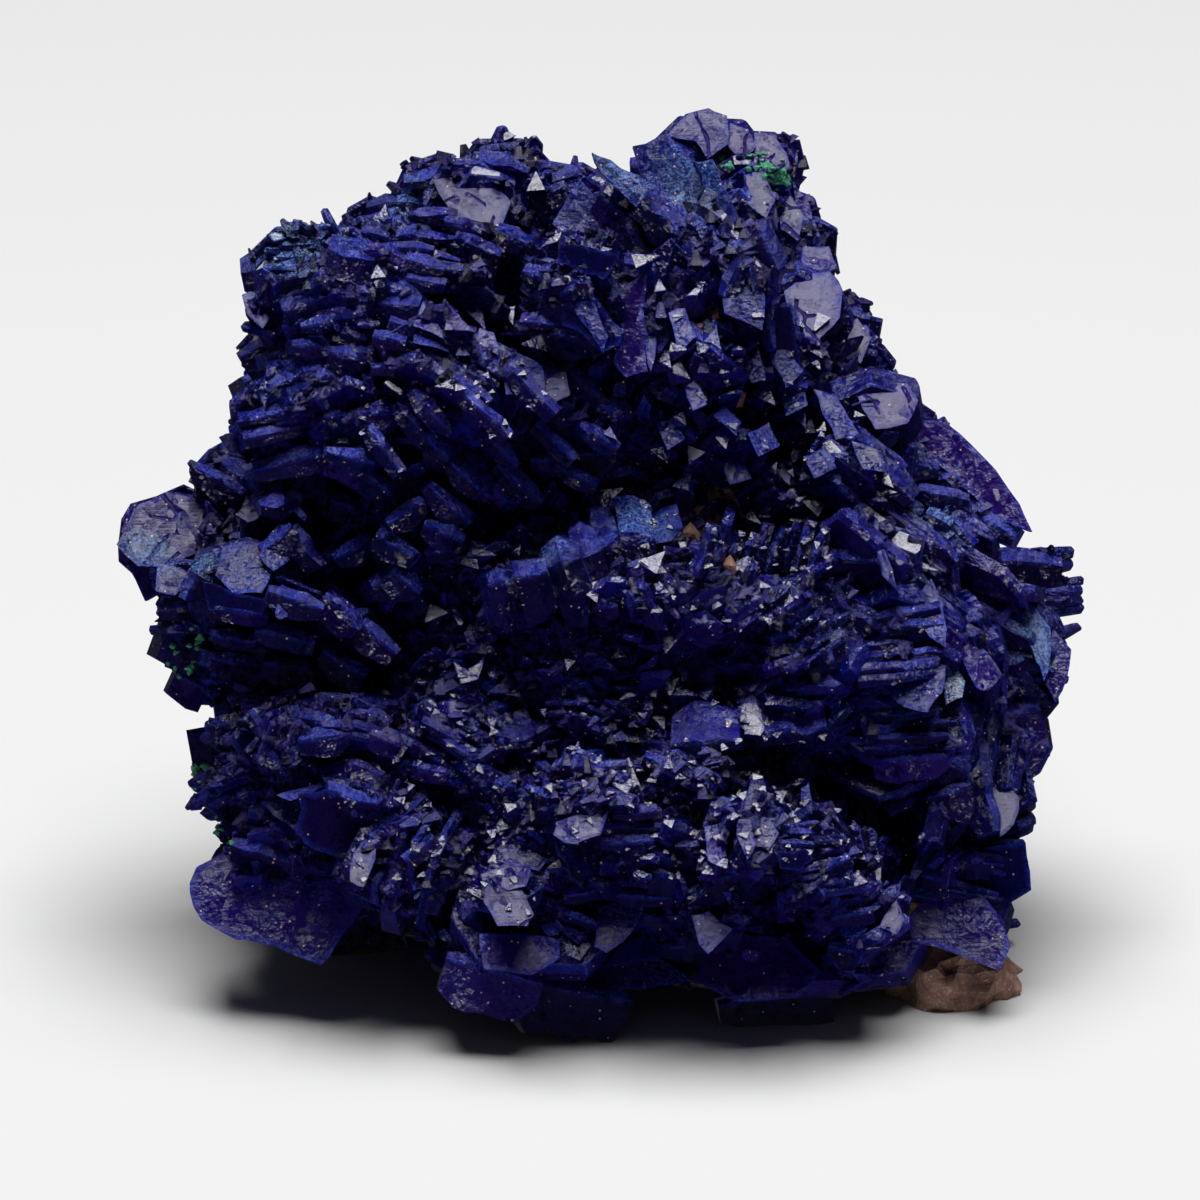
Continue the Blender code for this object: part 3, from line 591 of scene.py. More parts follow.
def growLargePages(stock, row, owners):
    region, name, form = row[0], row[1], row[9]
    bare = name in region["bare"]  # a bare page keeps its whole face
    rng = random.Random("large " + name)
    look = dict(largePages, tone=region["tone"], glint=region["glint"])
    if bare:
        look.update(slant=(0.05, 0.25), stray=0.02, glint=0.0)
    for axes, place, width, length, thick in pagePlaces(row):
        layers = 1 if bare else 1 + sum(thick > limit for limit in largePages["layerSplits"])
        first = stock["count"]
        for layer in range(layers):
            low = thick * (layer / layers - 0.5) - 0.02
            high = thick * ((layer + 1) / layers - 0.5) + 0.02
            share = 1.0 if layers == 1 else rng.uniform(0.86, 1.02)
            shift = Vector((rng.gauss(0, 0.02), rng.gauss(0, 0.02), 0)) * (width * mm if layers > 1 else 0)
            growCrystal(stock, axes, place + axes @ shift, form, width * share, length, low, high, rng, look)
        for number in range(rng.randint(*largePages["steps"])):
            own = width * rng.uniform(0.5, 0.92)
            side = rng.choice((-1, 1)) * (0.5 * thick + 0.02)
            beside = place + axes.col[2] * (side * mm) + axes.col[0] * (rng.uniform(-0.22, 0.22) * width * mm)
            beside -= axes.col[1] * (rng.uniform(0.1, 0.22) * width * mm)
            turns = rng.gauss(0, 0.015), rng.gauss(0, 0.08)
            growBeside(stock, axes, beside, form, own, 0.18, rng, dict(look, glint=0), turns)
        companions = 0 if bare else rng.randint(*largePages["companions"])
        for number in range(companions):
            side = rng.choice((-1, 1)) * rng.uniform(0.35, 0.65) * (thick + 0.3)
            own = width * rng.uniform(0.35, 0.75)
            thin = min(2.2, own * rng.uniform(0.28, 0.5))
            turns = rng.gauss(0, 0.22), rng.gauss(0, 0.35)
            beside = place + axes.col[2] * (side * mm) + axes.col[0] * (rng.uniform(-0.32, 0.32) * width * mm)
            beside += axes.col[1] * (rng.uniform(-1.6, 0.2) * mm)
            growBeside(stock, axes, beside, form, own, 0.5 * thin, rng, look, turns)
        owners.append((name, first, stock["count"]))


def growSmallBooks(stock, spots, tree):  # books of small pages on every spot that fell to this region
    for point, normal, row, share in spots:
        region, name, tip, outward, slope = row[:5]
        small = dict(usualBooks, **region["small"])
        rng = random.Random(f"{name} {round(point.x * 1e5)} {round(point.y * 1e5)} {round(point.z * 1e5)}")
        if rng.random() > small["keep"]:
            continue
        look = dict(smallPages, tone=region["tone"], glint=region["glint"])
        lean = (outward + normal * 0.7 + straying(rng, 0.14 + small["wild"])).normalized()
        turn = rng.gauss(0, 0.22) + (rng.uniform(-1.4, 1.4) if rng.random() < 0.2 + small["wild"] else 0)
        edge, upright = turned(lean, slope + turn)
        pages = rng.randint(*small["pages"])
        width = share * rng.uniform(*small["width"])
        form = rng.choice(small["form"])
        offset = 0.0
        for number in range(pages):
            thick = share * rng.uniform(*small["thick"])
            ownWidth = width * rng.uniform(0.75, 1.05)
            spin = Matrix.Rotation(0.16 * (number - 0.5 * pages) + rng.gauss(0, 0.05), 3, edge)
            spin = spin @ Matrix.Rotation(rng.gauss(0, 0.07), 3, upright)
            axes = spin @ Matrix((edge, lean, upright)).transposed()
            offset += 0.5 * thick
            place = point + upright * ((offset - 0.3 * pages) * mm)
            place += lean * (share * rng.uniform(*small["stand"]) * mm)
            place += edge * (rng.gauss(0, 0.12) * ownWidth * mm)
            offset += 0.5 * thick + 0.12
            length = 1.2 + 0.8 * ownWidth
            if place.z < 1.3 * mm:
                continue
            standing = tree.find_nearest(place)[3] > 0.3 * ownWidth * mm
            if rng.random() < small["wedges"]:
                growWedge(stock, axes, place - lean * (0.2 * mm), min(1.5, 0.6 * ownWidth), rng, look)
                if standing:  # a tooth clear of its ground has a stem
                    stem = place - lean * (0.6 * mm)
                    growCrystal(stock, axes, stem, form, 0.6 * ownWidth, length, -0.4 * thick, 0.4 * thick,
                                rng, look)
            elif rng.random() < small["pyramids"] and not standing:
                growPyramid(stock, axes, place - lean * (0.5 * mm), 0.75 * ownWidth, rng, look)
            else:
                growCrystal(stock, axes, place, form, ownWidth, length, -0.5 * thick, 0.5 * thick, rng, look)


def acrossAndUp(point):
    away = point - onFace(0, 0, 0)
    return away.dot(alongFace(1, 0, 0)) / mm, away.dot(alongFace(0, 1, 0)) / mm


def outlineOf(numbers):  # across and up in turn, made into corners
    return list(zip(numbers[::2], numbers[1::2]))


def polygonArea(outline):
    pairs = zip(outline, outline[1:] + outline[:1])
    return abs(sum(x1 * y2 - x2 * y1 for (x1, y1), (x2, y2) in pairs)) / 2


def isInside(place, outline):
    x, y = place
    crossings = 0
    for (x1, y1), (x2, y2) in zip(outline, outline[1:] + outline[:1]):
        if (y1 > y) != (y2 > y) and x < x1 + (x2 - x1) * (y - y1) / (y2 - y1):
            crossings += 1
    return crossings % 2 == 1


# Spots for small books: a grid over the show face, and this many ways from all round.
spotGrid = {
    "step": 1.4, "stray": 0.45, "around": 2400, "start": math.radians(50), "lowestWay": -0.5, "lowest": 1.0,
    "clearance": 0.9, "onPageSize": 0.6,
}


def findSpots(tree, rows, owners, bareNames):  # places on what has grown, each with the group nearest to it
    tips = kdtree.KDTree(len(rows))
    for index, row in enumerate(rows):
        tips.insert(row[2], index)
    tips.balance()
    rng = random.Random("spots")
    rays = []
    stray = spotGrid["stray"]
    for across in np.arange(-32, 33, spotGrid["step"]):
        for up in np.arange(-31, 31, spotGrid["step"]):
            start = onFace(across + rng.uniform(-stray, stray), up + rng.uniform(-stray, stray),
                           showFace["reach"])
            rays.append((start, -frontward))
    for index in range(spotGrid["around"]):
        share = 1 - 2 * (index + 0.5) / spotGrid["around"]
        ring = math.sqrt(1 - share * share)
        turn = goldenAngle * index
        outward = alongFace(ring * math.cos(turn), ring * math.sin(turn), share)
        outward = (outward + straying(rng, 0.03)).normalized()
        if outward.angle(frontward) > spotGrid["start"] and outward.z > spotGrid["lowestWay"]:
            rays.append((bodyMiddle + outward * (showFace["reach"] * mm), -outward))
    outlines = [outlineOf(numbers) for kind, *numbers in facets["rows"]]
    broad = [outline for outline in outlines if polygonArea(outline) > facets["keptClear"]]
    near = spotGrid["clearance"]
    spots = []
    for start, heading in rays:
        point, normal, face = tree.ray_cast(start, heading)[:3]
        if point is None or point.z < spotGrid["lowest"] * mm or owners[face] in bareNames:
            continue
        across, up = acrossAndUp(point)
        around = [(across + x, up + y) for x, y in ((0, 0), (near, 0), (-near, 0), (0, near), (0, -near))]
        if heading.dot(frontward) < -0.9 and any(isInside(at, outline) for outline in broad for at in around):
            continue
        if normal.dot(heading) > 0:
            normal = -normal
        index = tips.find(point)[1]
        if owners[face] and rng.random() > rows[index][0]["small"].get("onPages", 0):
            continue
        spots.append((point, normal, rows[index], spotGrid["onPageSize"] if owners[face] else 1.0))
    return spots


# Ledge crystals: a lit top band over a dark front face. Each row is the ridge between the two, from its left
# end to its right end, then how far the band and the front reach from it, the finish of the band, and how
# much further than rise the ledge stands out.
ledges = {
    "piece": "ledge_crystals", "rise": 0.7, "depth": 5.0, "bandLean": (34, 52), "frontLean": (4, 24),
    "turn": 0.12, "section": 1.1, "ragged": 0.14, "fall": 0.2, "endShare": (0.45, 0.9),
    "middleShare": (0.8, 1.1),
    "rows": (
        (-20.9, 20.0, -17.2, 19.6, 1.9, 2.0, "worn"), (-17.0, 20.2, -14.0, 19.6, 1.4, 2.1, "worn"),
        (-22.8, 19.0, -21.0, 19.3, 1.3, 1.8, "worn"), (-19.9, 16.3, -16.8, 17.4, 1.0, 1.4, "worn"),
        (-16.4, 17.4, -11.2, 16.5, 0.8, 1.9, "worn"), (-18.7, 15.3, -16.2, 15.8, 0.5, 0.8, "worn"),
        (-16.3, 14.9, -14.2, 14.9, 0.4, 1.1, "worn"), (-14.2, 14.7, -12.0, 14.3, 0.5, 0.8, "worn"),
        (-13.1, 15.6, -11.6, 15.1, 0.4, 0.6, "worn"), (-19.2, 14.1, -16.8, 13.9, 0.6, 1.0, "worn"),
        (-16.9, 13.7, -14.5, 13.2, 0.5, 1.3, "worn"), (-21.0, 13.5, -19.3, 13.9, 0.5, 1.4, "worn"),
        (-20.8, 11.6, -17.4, 12.5, 0.9, 1.0, "worn"), (-17.8, 12.1, -15.0, 12.5, 0.7, 1.8, "worn"),
        (-22.8, 12.0, -21.0, 12.7, 0.5, 1.6, "dark"), (-23.0, 13.4, -19.8, 15.3, 0.5, 2.2, "dark"),
        (-14.2, 12.6, -11.6, 12.6, 0.5, 0.7, "worn"), (-15.5, 22.4, -12.3, 22.4, 0.6, 0.9, "worn"),
        (-15.0, 21.5, -13.2, 21.1, 0.4, 0.9, "worn"), (-13.4, 20.5, -10.3, 20.2, 0.4, 0.6, "worn"),
        (-12.9, 23.7, -10.0, 23.6, 0.7, 0.6, "worn"), (-11.9, 22.5, -9.3, 22.6, 0.6, 0.6, "worn"),
        (-11.4, 23.1, -9.2, 22.9, 0.4, 0.5, "worn"), (-12.7, 21.2, -11.1, 21.1, 0.8, 0.4, "worn"),
        (-11.1, 21.1, -9.0, 21.0, 0.4, 0.5, "worn"), (-12.1, 19.5, -9.6, 19.0, 0.6, 0.6, "worn"),
        (-13.8, 18.8, -9.5, 17.8, 0.8, 0.7, "silver"), (-11.2, 20.3, -8.6, 19.5, 0.4, 0.6, "worn"),
        (-9.0, 20.9, -6.0, 20.0, 0.8, 2.6, "worn"), (-9.6, 22.0, -7.2, 21.4, 0.6, 0.6, "worn"),
        (-6.3, 21.6, -4.3, 20.5, 0.7, 1.0, "worn"), (-12.6, 25.0, -10.0, 25.6, 1.0, 0.9, "worn"),
        (-15.0, 23.4, -12.8, 23.9, 0.6, 0.8, "worn"), (-7.6, 26.6, -4.3, 25.8, 1.0, 2.2, "violet"),
        (-22.7, 9.2, -17.6, 10.2, 0.7, 0.4, "worn"), (-22.3, 8.1, -18.2, 9.1, 0.8, 0.7, "silver"),
        (-17.3, 9.6, -15.9, 9.6, 0.5, 0.8, "worn"), (-15.8, 9.3, -13.1, 10.3, 0.5, 1.7, "violet"),
        (-12.9, 10.0, -11.1, 9.5, 0.3, 0.6, "worn"), (-20.2, 6.6, -17.3, 6.4, 0.6, 2.6, "worn"),
        (-22.0, 5.6, -20.2, 6.7, 0.7, 1.2, "worn"), (-18.3, 7.4, -16.1, 6.6, 0.3, 0.5, "worn"),
        (-16.8, 7.6, -13.8, 6.9, 0.4, 2.2, "violet"), (-15.0, 4.2, -12.9, 5.4, 0.4, 1.2, "violet"),
        (-18.1, 4.0, -16.8, 4.5, 0.5, 1.2, "worn"), (-16.2, 4.9, -14.9, 4.6, 0.3, 1.0, "violet"),
        (-8.6, 7.8, -5.8, 3.9, 1.8, 0.6, "violet"), (-11.2, 9.2, -9.4, 7.0, 0.6, 0.6, "worn"),
        (-10.9, 11.0, -8.4, 9.4, 0.5, 0.5, "silver"), (-10.4, 6.3, -8.3, 5.3, 0.6, 0.5, "silver"),
        (-9.8, 8.4, -7.8, 6.4, 0.5, 0.5, "worn"), (-7.4, 6.6, -4.6, 4.2, 0.6, 0.4, "silver"),
        (-9.0, 12.0, -6.6, 10.4, 0.5, 0.5, "silver"), (-7.6, 10.0, -5.2, 8.6, 0.6, 0.6, "worn"),
        (-12.0, 3.1, -10.4, 4.2, 0.8, 0.5, "silver"), (-10.5, 4.9, -8.3, 4.2, 0.5, 0.6, "worn"),
        (-10.1, 1.4, -7.9, 1.9, 0.6, 0.6, "worn"), (-9.6, 2.9, -8.2, 3.6, 0.5, 0.5, "silver"),
        (-14.0, 3.9, -12.0, 3.7, 0.4, 0.5, "silver"), (-12.5, 2.2, -10.3, 2.6, 0.5, 0.6, "worn"),
        (-14.1, 2.0, -13.4, -0.6, 0.5, 0.5, "worn"), (-12.8, 0.1, -11.7, -2.0, 0.8, 0.8, "worn"),
        (-16.8, 0.3, -15.1, 1.6, 0.7, 0.7, "worn"), (-9.9, 0.3, -8.6, 0.5, 0.5, 0.6, "worn"),
        (-25.9, 6.3, -23.9, 7.8, 0.5, 1.4, "worn"), (-24.2, 6.8, -21.2, 4.8, 0.6, 1.0, "worn"),
        (-25.8, 5.0, -23.3, 4.3, 0.6, 0.8, "worn"), (-26.3, -2.2, -24.9, 0.2, 0.7, 1.0, "worn"),
        (-24.8, -3.6, -21.4, -3.6, 0.7, 0.4, "silver"), (-24.6, -4.6, -21.8, -4.9, 0.7, 0.5, "silver"),
        (-24.4, -5.7, -20.5, -5.5, 0.6, 2.1, "worn"), (-27.8, -4.8, -25.4, -5.0, 0.8, 2.2, "dark"),
        (-28.2, -3.0, -26.3, -2.6, 0.6, 1.0, "dark"), (-19.6, -5.4, -17.2, -5.8, 0.5, 1.7, "worn"),
        (-18.0, -0.9, -16.4, -1.9, 0.5, 0.9, "worn"), (-16.6, -2.4, -15.0, -2.6, 0.5, 0.8, "worn"),
        (-22.0, -9.2, -21.0, -11.0, 0.9, 0.6, "worn"), (-21.4, -11.4, -19.6, -13.4, 0.8, 0.7, "worn"),
        (-24.6, -10.0, -23.2, -10.4, 0.6, 1.6, "worn"), (-19.3, -9.0, -18.4, -12.2, 0.7, 0.7, "worn"),
        (-18.9, -11.2, -15.7, -10.7, 0.7, 1.3, "silver"), (-16.9, -14.5, -13.8, -15.1, 0.7, 0.7, "worn"),
        (-15.0, -9.4, -13.2, -10.4, 0.7, 1.2, "worn"), (-13.8, -8.6, -11.2, -9.0, 0.5, 0.8, "silver"),
        (-14.6, -12.6, -12.4, -11.2, 0.6, 1.0, "worn"), (-11.6, -12.8, -8.6, -13.4, 0.4, 0.9, "violet"),
        (-11.0, -9.8, -8.6, -11.2, 0.5, 0.5, "silver"), (-10.0, -10.8, -7.6, -12.4, 0.4, 0.5, "worn"),
        (-23.4, -17.8, -17.0, -19.6, 0.7, 0.5, "worn"), (-15.8, -20.7, -13.3, -21.7, 0.8, 0.7, "worn"),
        (-24.8, -2.8, -20.8, -3.4, 0.5, 0.9, "worn"), (-24.6, -4.1, -21.6, -4.4, 0.6, 0.8, "silver"),
        (-24.3, -5.2, -20.2, -5.5, 0.7, 1.9, "worn"), (-23.4, -7.2, -19.6, -7.4, 0.5, 1.4, "violet"),
        (-27.6, -4.4, -25.4, -5.2, 0.8, 2.4, "dark"), (-27.2, -7.0, -25.0, -8.0, 0.6, 2.0, "violet"),
        (-19.8, -5.6, -17.6, -6.2, 0.6, 1.2, "worn"), (-20.0, -1.4, -18.3, -2.4, 0.6, 1.4, "worn"),
        (-17.4, -0.6, -15.4, 0.8, 0.6, 1.2, "worn"), (-14.2, -1.2, -12.2, -0.6, 0.6, 1.4, "silver"),
        (-16.6, -3.4, -14.4, -3.0, 0.5, 1.3, "worn"), (-12.0, -3.2, -10.4, -1.8, 0.6, 1.2, "worn"),
        (-22.8, -8.9, -19.6, -8.8, 0.5, 3.0, "violet"), (-19.2, -8.8, -16.0, -8.6, 0.7, 2.6, "dark"),
        (-18.8, -9.6, -16.6, -10.0, 0.6, 0.9, "silver"), (-15.6, -8.4, -12.6, -9.0, 0.5, 1.6, "worn"),
        (-24.6, -9.4, -23.0, -9.2, 0.6, 1.8, "worn"), (-26.6, -11.2, -24.4, -10.8, 0.5, 3.0, "dark"),
        (-14.6, -10.6, -12.4, -11.4, 0.5, 1.2, "violet"), (-13.4, -13.4, -11.4, -12.2, 0.5, 1.0, "worn"),
        (-16.2, -12.2, -13.6, -13.4, 0.4, 1.4, "violet"), (-12.4, -16.2, -10.8, -14.6, 0.5, 1.0, "worn"),
        (-14.6, -17.6, -12.6, -15.8, 0.5, 1.0, "violet"), (-12.0, -18.8, -10.2, -17.2, 0.5, 1.0, "worn"),
        (-0.5, 25.0, 3.2, 23.6, 1.3, 1.5, "worn"), (3.2, 23.5, 7.0, 19.8, 1.2, 1.6, "worn"),
        (0.3, 23.9, 5.2, 20.0, 0.5, 2.6, "violet"), (5.2, 19.0, 6.7, 18.2, 0.3, 1.9, "violet"),
        (3.9, 26.9, 7.3, 22.9, 1.3, 0.5, "worn"), (2.4, 26.1, 4.2, 26.2, 0.8, 1.4, "worn"),
        (4.2, 26.4, 5.6, 24.2, 0.8, 0.5, "worn"), (5.2, 27.6, 8.3, 24.8, 1.4, 0.5, "worn"),
        (-4.0, 24.2, -1.8, 24.8, 0.5, 2.0, "worn"), (-2.8, 25.2, -0.8, 25.6, 0.7, 0.6, "worn"),
        (-4.5, 22.2, -3.2, 21.3, 0.6, 1.4, "worn"), (-4.6, 18.8, -2.8, 18.0, 0.7, 0.5, "silver"),
        (-4.7, 19.9, -3.2, 18.9, 0.4, 0.4, "worn"), (-2.3, 17.2, -1.2, 17.8, 0.8, 0.8, "silver"),
        (-1.2, 17.8, 1.7, 14.7, 0.4, 2.6, "worn"), (-2.3, 20.6, 0.0, 20.2, 0.3, 1.6, "worn"),
        (2.0, 19.4, 3.9, 19.2, 0.8, 0.9, "worn"), (-4.8, 15.7, -2.6, 15.3, 0.9, 0.5, "silver"),
        (-4.5, 14.7, -2.2, 14.5, 0.3, 0.6, "worn"), (-2.4, 13.9, -0.8, 13.3, 0.7, 0.5, "worn"),
        (-3.0, 12.9, -0.2, 12.3, 0.3, 0.5, "worn"), (-3.4, 10.4, -1.2, 10.2, 0.3, 1.1, "worn"),
        (-3.6, 9.4, -1.2, 9.1, 0.2, 1.2, "silver"), (-2.2, 7.1, 1.3, 7.4, 0.6, 1.7, "worn"),
        (-4.0, 6.7, -2.3, 6.9, 0.3, 1.3, "violet"), (-1.6, 5.6, 1.6, 5.6, 0.3, 0.6, "worn"),
        (0.3, 10.4, 1.7, 9.5, 1.0, 0.8, "worn"), (9.3, 24.2, 10.9, 21.8, 1.2, 0.8, "silver"),
        (10.5, 21.8, 11.6, 18.8, 0.9, 0.7, "worn"), (8.3, 17.2, 9.4, 19.7, 0.5, 0.8, "worn"),
        (9.8, 19.6, 10.3, 17.6, 0.8, 0.5, "worn"), (10.6, 17.6, 11.5, 14.0, 0.4, 1.0, "worn"),
        (12.4, 16.7, 13.7, 13.2, 0.5, 1.3, "worn"), (12.0, 11.9, 13.7, 11.4, 0.5, 1.0, "worn"),
        (5.1, 15.6, 7.1, 14.0, 0.7, 1.2, "silver"), (7.4, 13.9, 8.6, 12.9, 0.4, 0.8, "worn"),
        (3.8, 11.8, 5.4, 10.9, 0.5, 0.9, "worn"), (5.0, 9.6, 6.6, 8.0, 0.5, 0.8, "silver"),
        (13.4, 11.9, 15.6, 8.6, 0.8, 1.0, "worn"), (15.0, 11.0, 16.6, 8.6, 0.8, 0.8, "silver"),
        (-21.9, 6.2, -17.0, 7.4, 0.7, 1.2, "worn", 2.0), (-17.0, 7.4, -13.9, 6.6, 0.6, 1.2, "worn", 2.0),
        (-15.1, 6.6, -13.1, 4.7, 0.5, 1.3, "worn", 2.2), (-12.4, 10.5, -10.0, 7.4, 0.6, 1.0, "worn", 2.0),
        (-11.4, 11.2, -9.0, 8.4, 0.5, 0.9, "silver", 1.8), (-10.8, 8.2, -8.7, 6.2, 0.6, 1.1, "worn", 2.4),
        (-9.0, 6.6, -6.5, 4.3, 0.6, 1.1, "worn", 2.4), (-8.5, 11.3, -5.3, 8.2, 0.5, 0.9, "worn", 2.0),
        (-10.4, 5.1, -7.7, 2.7, 0.6, 1.2, "silver", 2.4), (-7.4, 9.0, -4.8, 6.4, 0.5, 0.9, "worn", 2.2),
        (-6.1, 6.6, -3.4, 3.9, 0.6, 1.0, "worn", 2.4), (-16.6, 0.4, -14.3, 1.9, 0.6, 1.2, "worn", 2.2),
        (-13.1, 2.7, -10.8, 4.3, 0.6, 1.2, "worn", 2.4), (-10.8, 0.8, -8.1, 1.9, 0.5, 1.0, "worn", 2.2),
        (-21.3, 2.7, -19.0, 4.7, 0.6, 1.0, "worn", 1.4), (-14.4, 8.9, -12.2, 6.0, 0.5, 1.0, "silver", 2.2),
        (-17.5, 4.6, -14.8, 3.2, 0.6, 1.2, "worn", 2.2), (-5.0, 12.4, -2.4, 9.6, 0.6, 1.0, "worn", 2.0),
        (-3.6, 9.2, -1.2, 6.8, 0.5, 0.9, "worn", 2.0), (-1.8, 13.0, 0.4, 10.6, 0.5, 0.9, "worn", 1.8),
        (-0.8, 9.0, 1.6, 7.4, 0.5, 0.9, "silver", 2.0), (-2.4, 6.4, 0.2, 5.2, 0.5, 0.9, "worn", 2.0),
        (-25.8, 6.4, -22.7, 4.7, 0.6, 1.4, "worn", 2.0), (-21.3, 3.9, -18.7, 4.6, 0.6, 1.2, "worn", 3.2),
        (-21.2, 1.0, -19.3, 2.6, 0.6, 1.6, "worn", 3.6), (-19.3, 2.6, -17.5, 0.0, 0.6, 1.4, "silver", 3.4),
        (-14.0, 2.2, -11.5, 0.6, 0.7, 1.4, "worn", 3.2), (-12.8, -0.2, -11.0, -1.8, 0.8, 1.6, "worn", 3.4),
        (-10.9, 2.6, -8.3, 1.6, 0.6, 1.2, "worn", 3.0), (-20.7, -1.6, -17.2, -2.7, 0.6, 1.4, "worn", 4.0),
        (-17.2, -1.8, -14.9, -4.0, 0.6, 1.4, "silver", 3.8),
        (-14.9, -3.6, -12.6, -5.6, 0.6, 1.6, "worn", 3.4),
        (-24.4, -4.4, -21.6, -4.8, 0.6, 0.8, "worn", 3.4),
        (-24.6, -5.8, -21.2, -6.4, 0.5, 1.0, "worn", 3.0),
        (-21.6, -4.0, -17.8, -4.9, 0.6, 1.0, "silver", 3.8),
        (-21.3, -6.2, -17.2, -6.8, 0.5, 1.4, "worn", 3.2),
        (-24.2, -2.6, -20.8, -3.2, 0.5, 1.0, "worn", 3.4),
        (-17.4, -5.4, -14.6, -7.0, 0.5, 1.4, "worn", 3.0), (-6.6, -1.2, -4.9, -0.9, 0.8, 3.0, "worn", 2.9),
        (-5.1, -0.8, -3.0, -0.3, 1.1, 3.6, "worn", 3.2), (-3.2, -0.2, -0.9, 0.6, 1.6, 4.5, "worn", 3.0),
        (-1.2, 0.6, 0.5, 1.1, 2.2, 4.9, "worn", 3.3), (0.3, 1.1, 1.9, 1.5, 2.6, 5.2, "worn", 3.1),
        (1.7, 1.5, 3.9, 1.8, 2.6, 5.0, "worn", 3.35), (3.6, 1.8, 5.8, 2.0, 1.9, 4.2, "worn", 3.0),
        (6.5, -0.8, 7.4, 2.1, 0.4, 0.55, "silver", 2.6), (7.4, -0.7, 8.4, 2.6, 0.4, 0.55, "worn", 2.8),
        (8.3, -0.5, 9.2, 2.1, 0.4, 0.55, "worn", 2.6), (9.3, -0.7, 10.3, 2.2, 0.4, 0.55, "silver", 2.8),
        (10.2, -0.5, 11.1, 2.7, 0.4, 0.55, "worn", 2.6), (11.1, -0.4, 12.1, 2.2, 0.4, 0.55, "worn", 2.8),
        (12.0, -0.5, 12.9, 2.4, 0.4, 0.55, "silver", 2.6), (12.9, -0.4, 13.9, 2.9, 0.4, 0.55, "worn", 2.8),
        (13.9, -0.2, 14.8, 2.4, 0.4, 0.55, "worn", 2.6), (14.6, 0.7, 18.0, 0.3, 0.6, 1.0, "worn"),
        (16.8, 8.2, 20.5, 4.2, 1.0, 0.9, "silver"), (19.8, 6.6, 22.3, 6.2, 0.7, 1.1, "worn"),
        (21.0, 5.0, 24.3, 4.3, 0.6, 1.0, "worn"), (21.4, 3.5, 23.0, 2.6, 0.6, 1.0, "silver"),
        (22.9, 3.2, 24.6, 1.4, 0.7, 1.0, "silver"), (21.9, 1.8, 23.3, 0.2, 0.6, 0.9, "worn"),
        (24.8, 3.2, 27.2, 1.9, 0.8, 0.8, "worn"), (25.0, 0.3, 30.6, 0.2, 1.0, 2.8, "worn"),
        (24.4, -0.9, 28.4, -1.6, 0.4, 0.8, "violet"), (17.4, -3.5, 22.1, -2.6, 0.5, 0.5, "worn"),
        (17.0, -4.3, 22.3, -3.6, 0.4, 0.5, "worn"), (16.8, -5.1, 22.4, -4.6, 0.5, 0.4, "silver"),
        (17.0, -5.9, 22.3, -5.4, 0.4, 0.6, "worn"), (18.0, -10.2, 22.8, -10.0, 0.3, 0.5, "worn"),
        (17.5, -11.0, 22.7, -10.8, 0.3, 0.5, "worn"), (17.3, -11.7, 22.4, -11.5, 0.3, 0.5, "worn"),
        (17.8, -12.4, 22.5, -12.1, 0.3, 1.8, "violet"), (25.3, -10.0, 28.9, -9.2, 0.9, 4.6, "violet"),
        (24.4, -10.6, 25.8, -17.0, 0.6, 2.0, "worn"), (22.4, -12.2, 24.0, -13.2, 0.6, 1.6, "worn"),
        (21.4, -14.8, 24.2, -14.0, 0.4, 2.2, "dark"), (23.4, -19.2, 25.0, -18.8, 0.6, 1.2, "worn"),
        (21.2, -19.8, 22.6, -20.2, 0.6, 1.0, "worn"), (-9.4, -25.0, -3.2, -26.6, 0.6, 3.0, "violet", 1.2),
        (-4.6, -26.6, 2.6, -27.9, 0.5, 3.0, "dark", 1.9), (1.2, -27.7, 9.2, -28.5, 0.5, 2.6, "violet", 2.7),
        (8.0, -28.3, 15.2, -27.2, 0.5, 3.0, "dark", 2.3), (4.8, -11.3, 9.2, -11.0, 2.4, 0.9, "silver", 2.8),
        (9.2, -10.9, 14.8, -10.2, 2.6, 0.9, "silver", 2.8), (0.4, -17.5, 3.8, -17.5, 0.6, 0.7, "silver"),
        (1.0, -16.5, 4.2, -16.6, 0.4, 0.5, "silver"), (1.3, -15.7, 4.1, -15.5, 0.5, 0.5, "silver"),
        (1.2, -19.9, 4.3, -20.2, 0.8, 0.4, "silver"), (1.0, -20.9, 5.0, -21.1, 0.3, 0.7, "worn"),
        (-1.9, -21.0, 0.5, -20.6, 0.8, 0.7, "worn"), (-3.8, -21.2, -2.2, -21.8, 0.5, 0.6, "silver"),
        (-2.2, -21.9, 0.2, -22.8, 0.4, 0.6, "worn"), (4.4, -24.3, 7.0, -24.3, 0.4, 1.2, "worn"),
        (3.2, -22.4, 5.6, -22.3, 0.3, 0.8, "silver"), (7.2, -20.1, 8.9, -19.6, 0.5, 1.8, "worn"),
        (9.1, -23.2, 12.5, -23.7, 0.4, 1.0, "worn"), (11.6, -17.6, 14.0, -17.6, 0.3, 1.7, "dark"),
        (12.0, -16.9, 13.8, -16.9, 0.4, 0.4, "silver"), (3.2, -12.0, 5.2, -12.9, 0.5, 0.8, "silver"),
        (3.6, -13.3, 5.6, -14.6, 0.4, 0.6, "worn"), (-0.4, -12.8, 2.0, -12.6, 0.4, 0.7, "silver"),
        (-4.0, -12.2, -2.3, -13.6, 0.4, 0.6, "worn"), (-4.4, -14.0, -2.6, -14.8, 0.5, 0.5, "silver"),
        (-6.4, -13.6, -5.0, -14.2, 0.7, 0.6, "silver"), (-6.8, -11.2, -3.8, -11.0, 1.0, 0.6, "silver"),
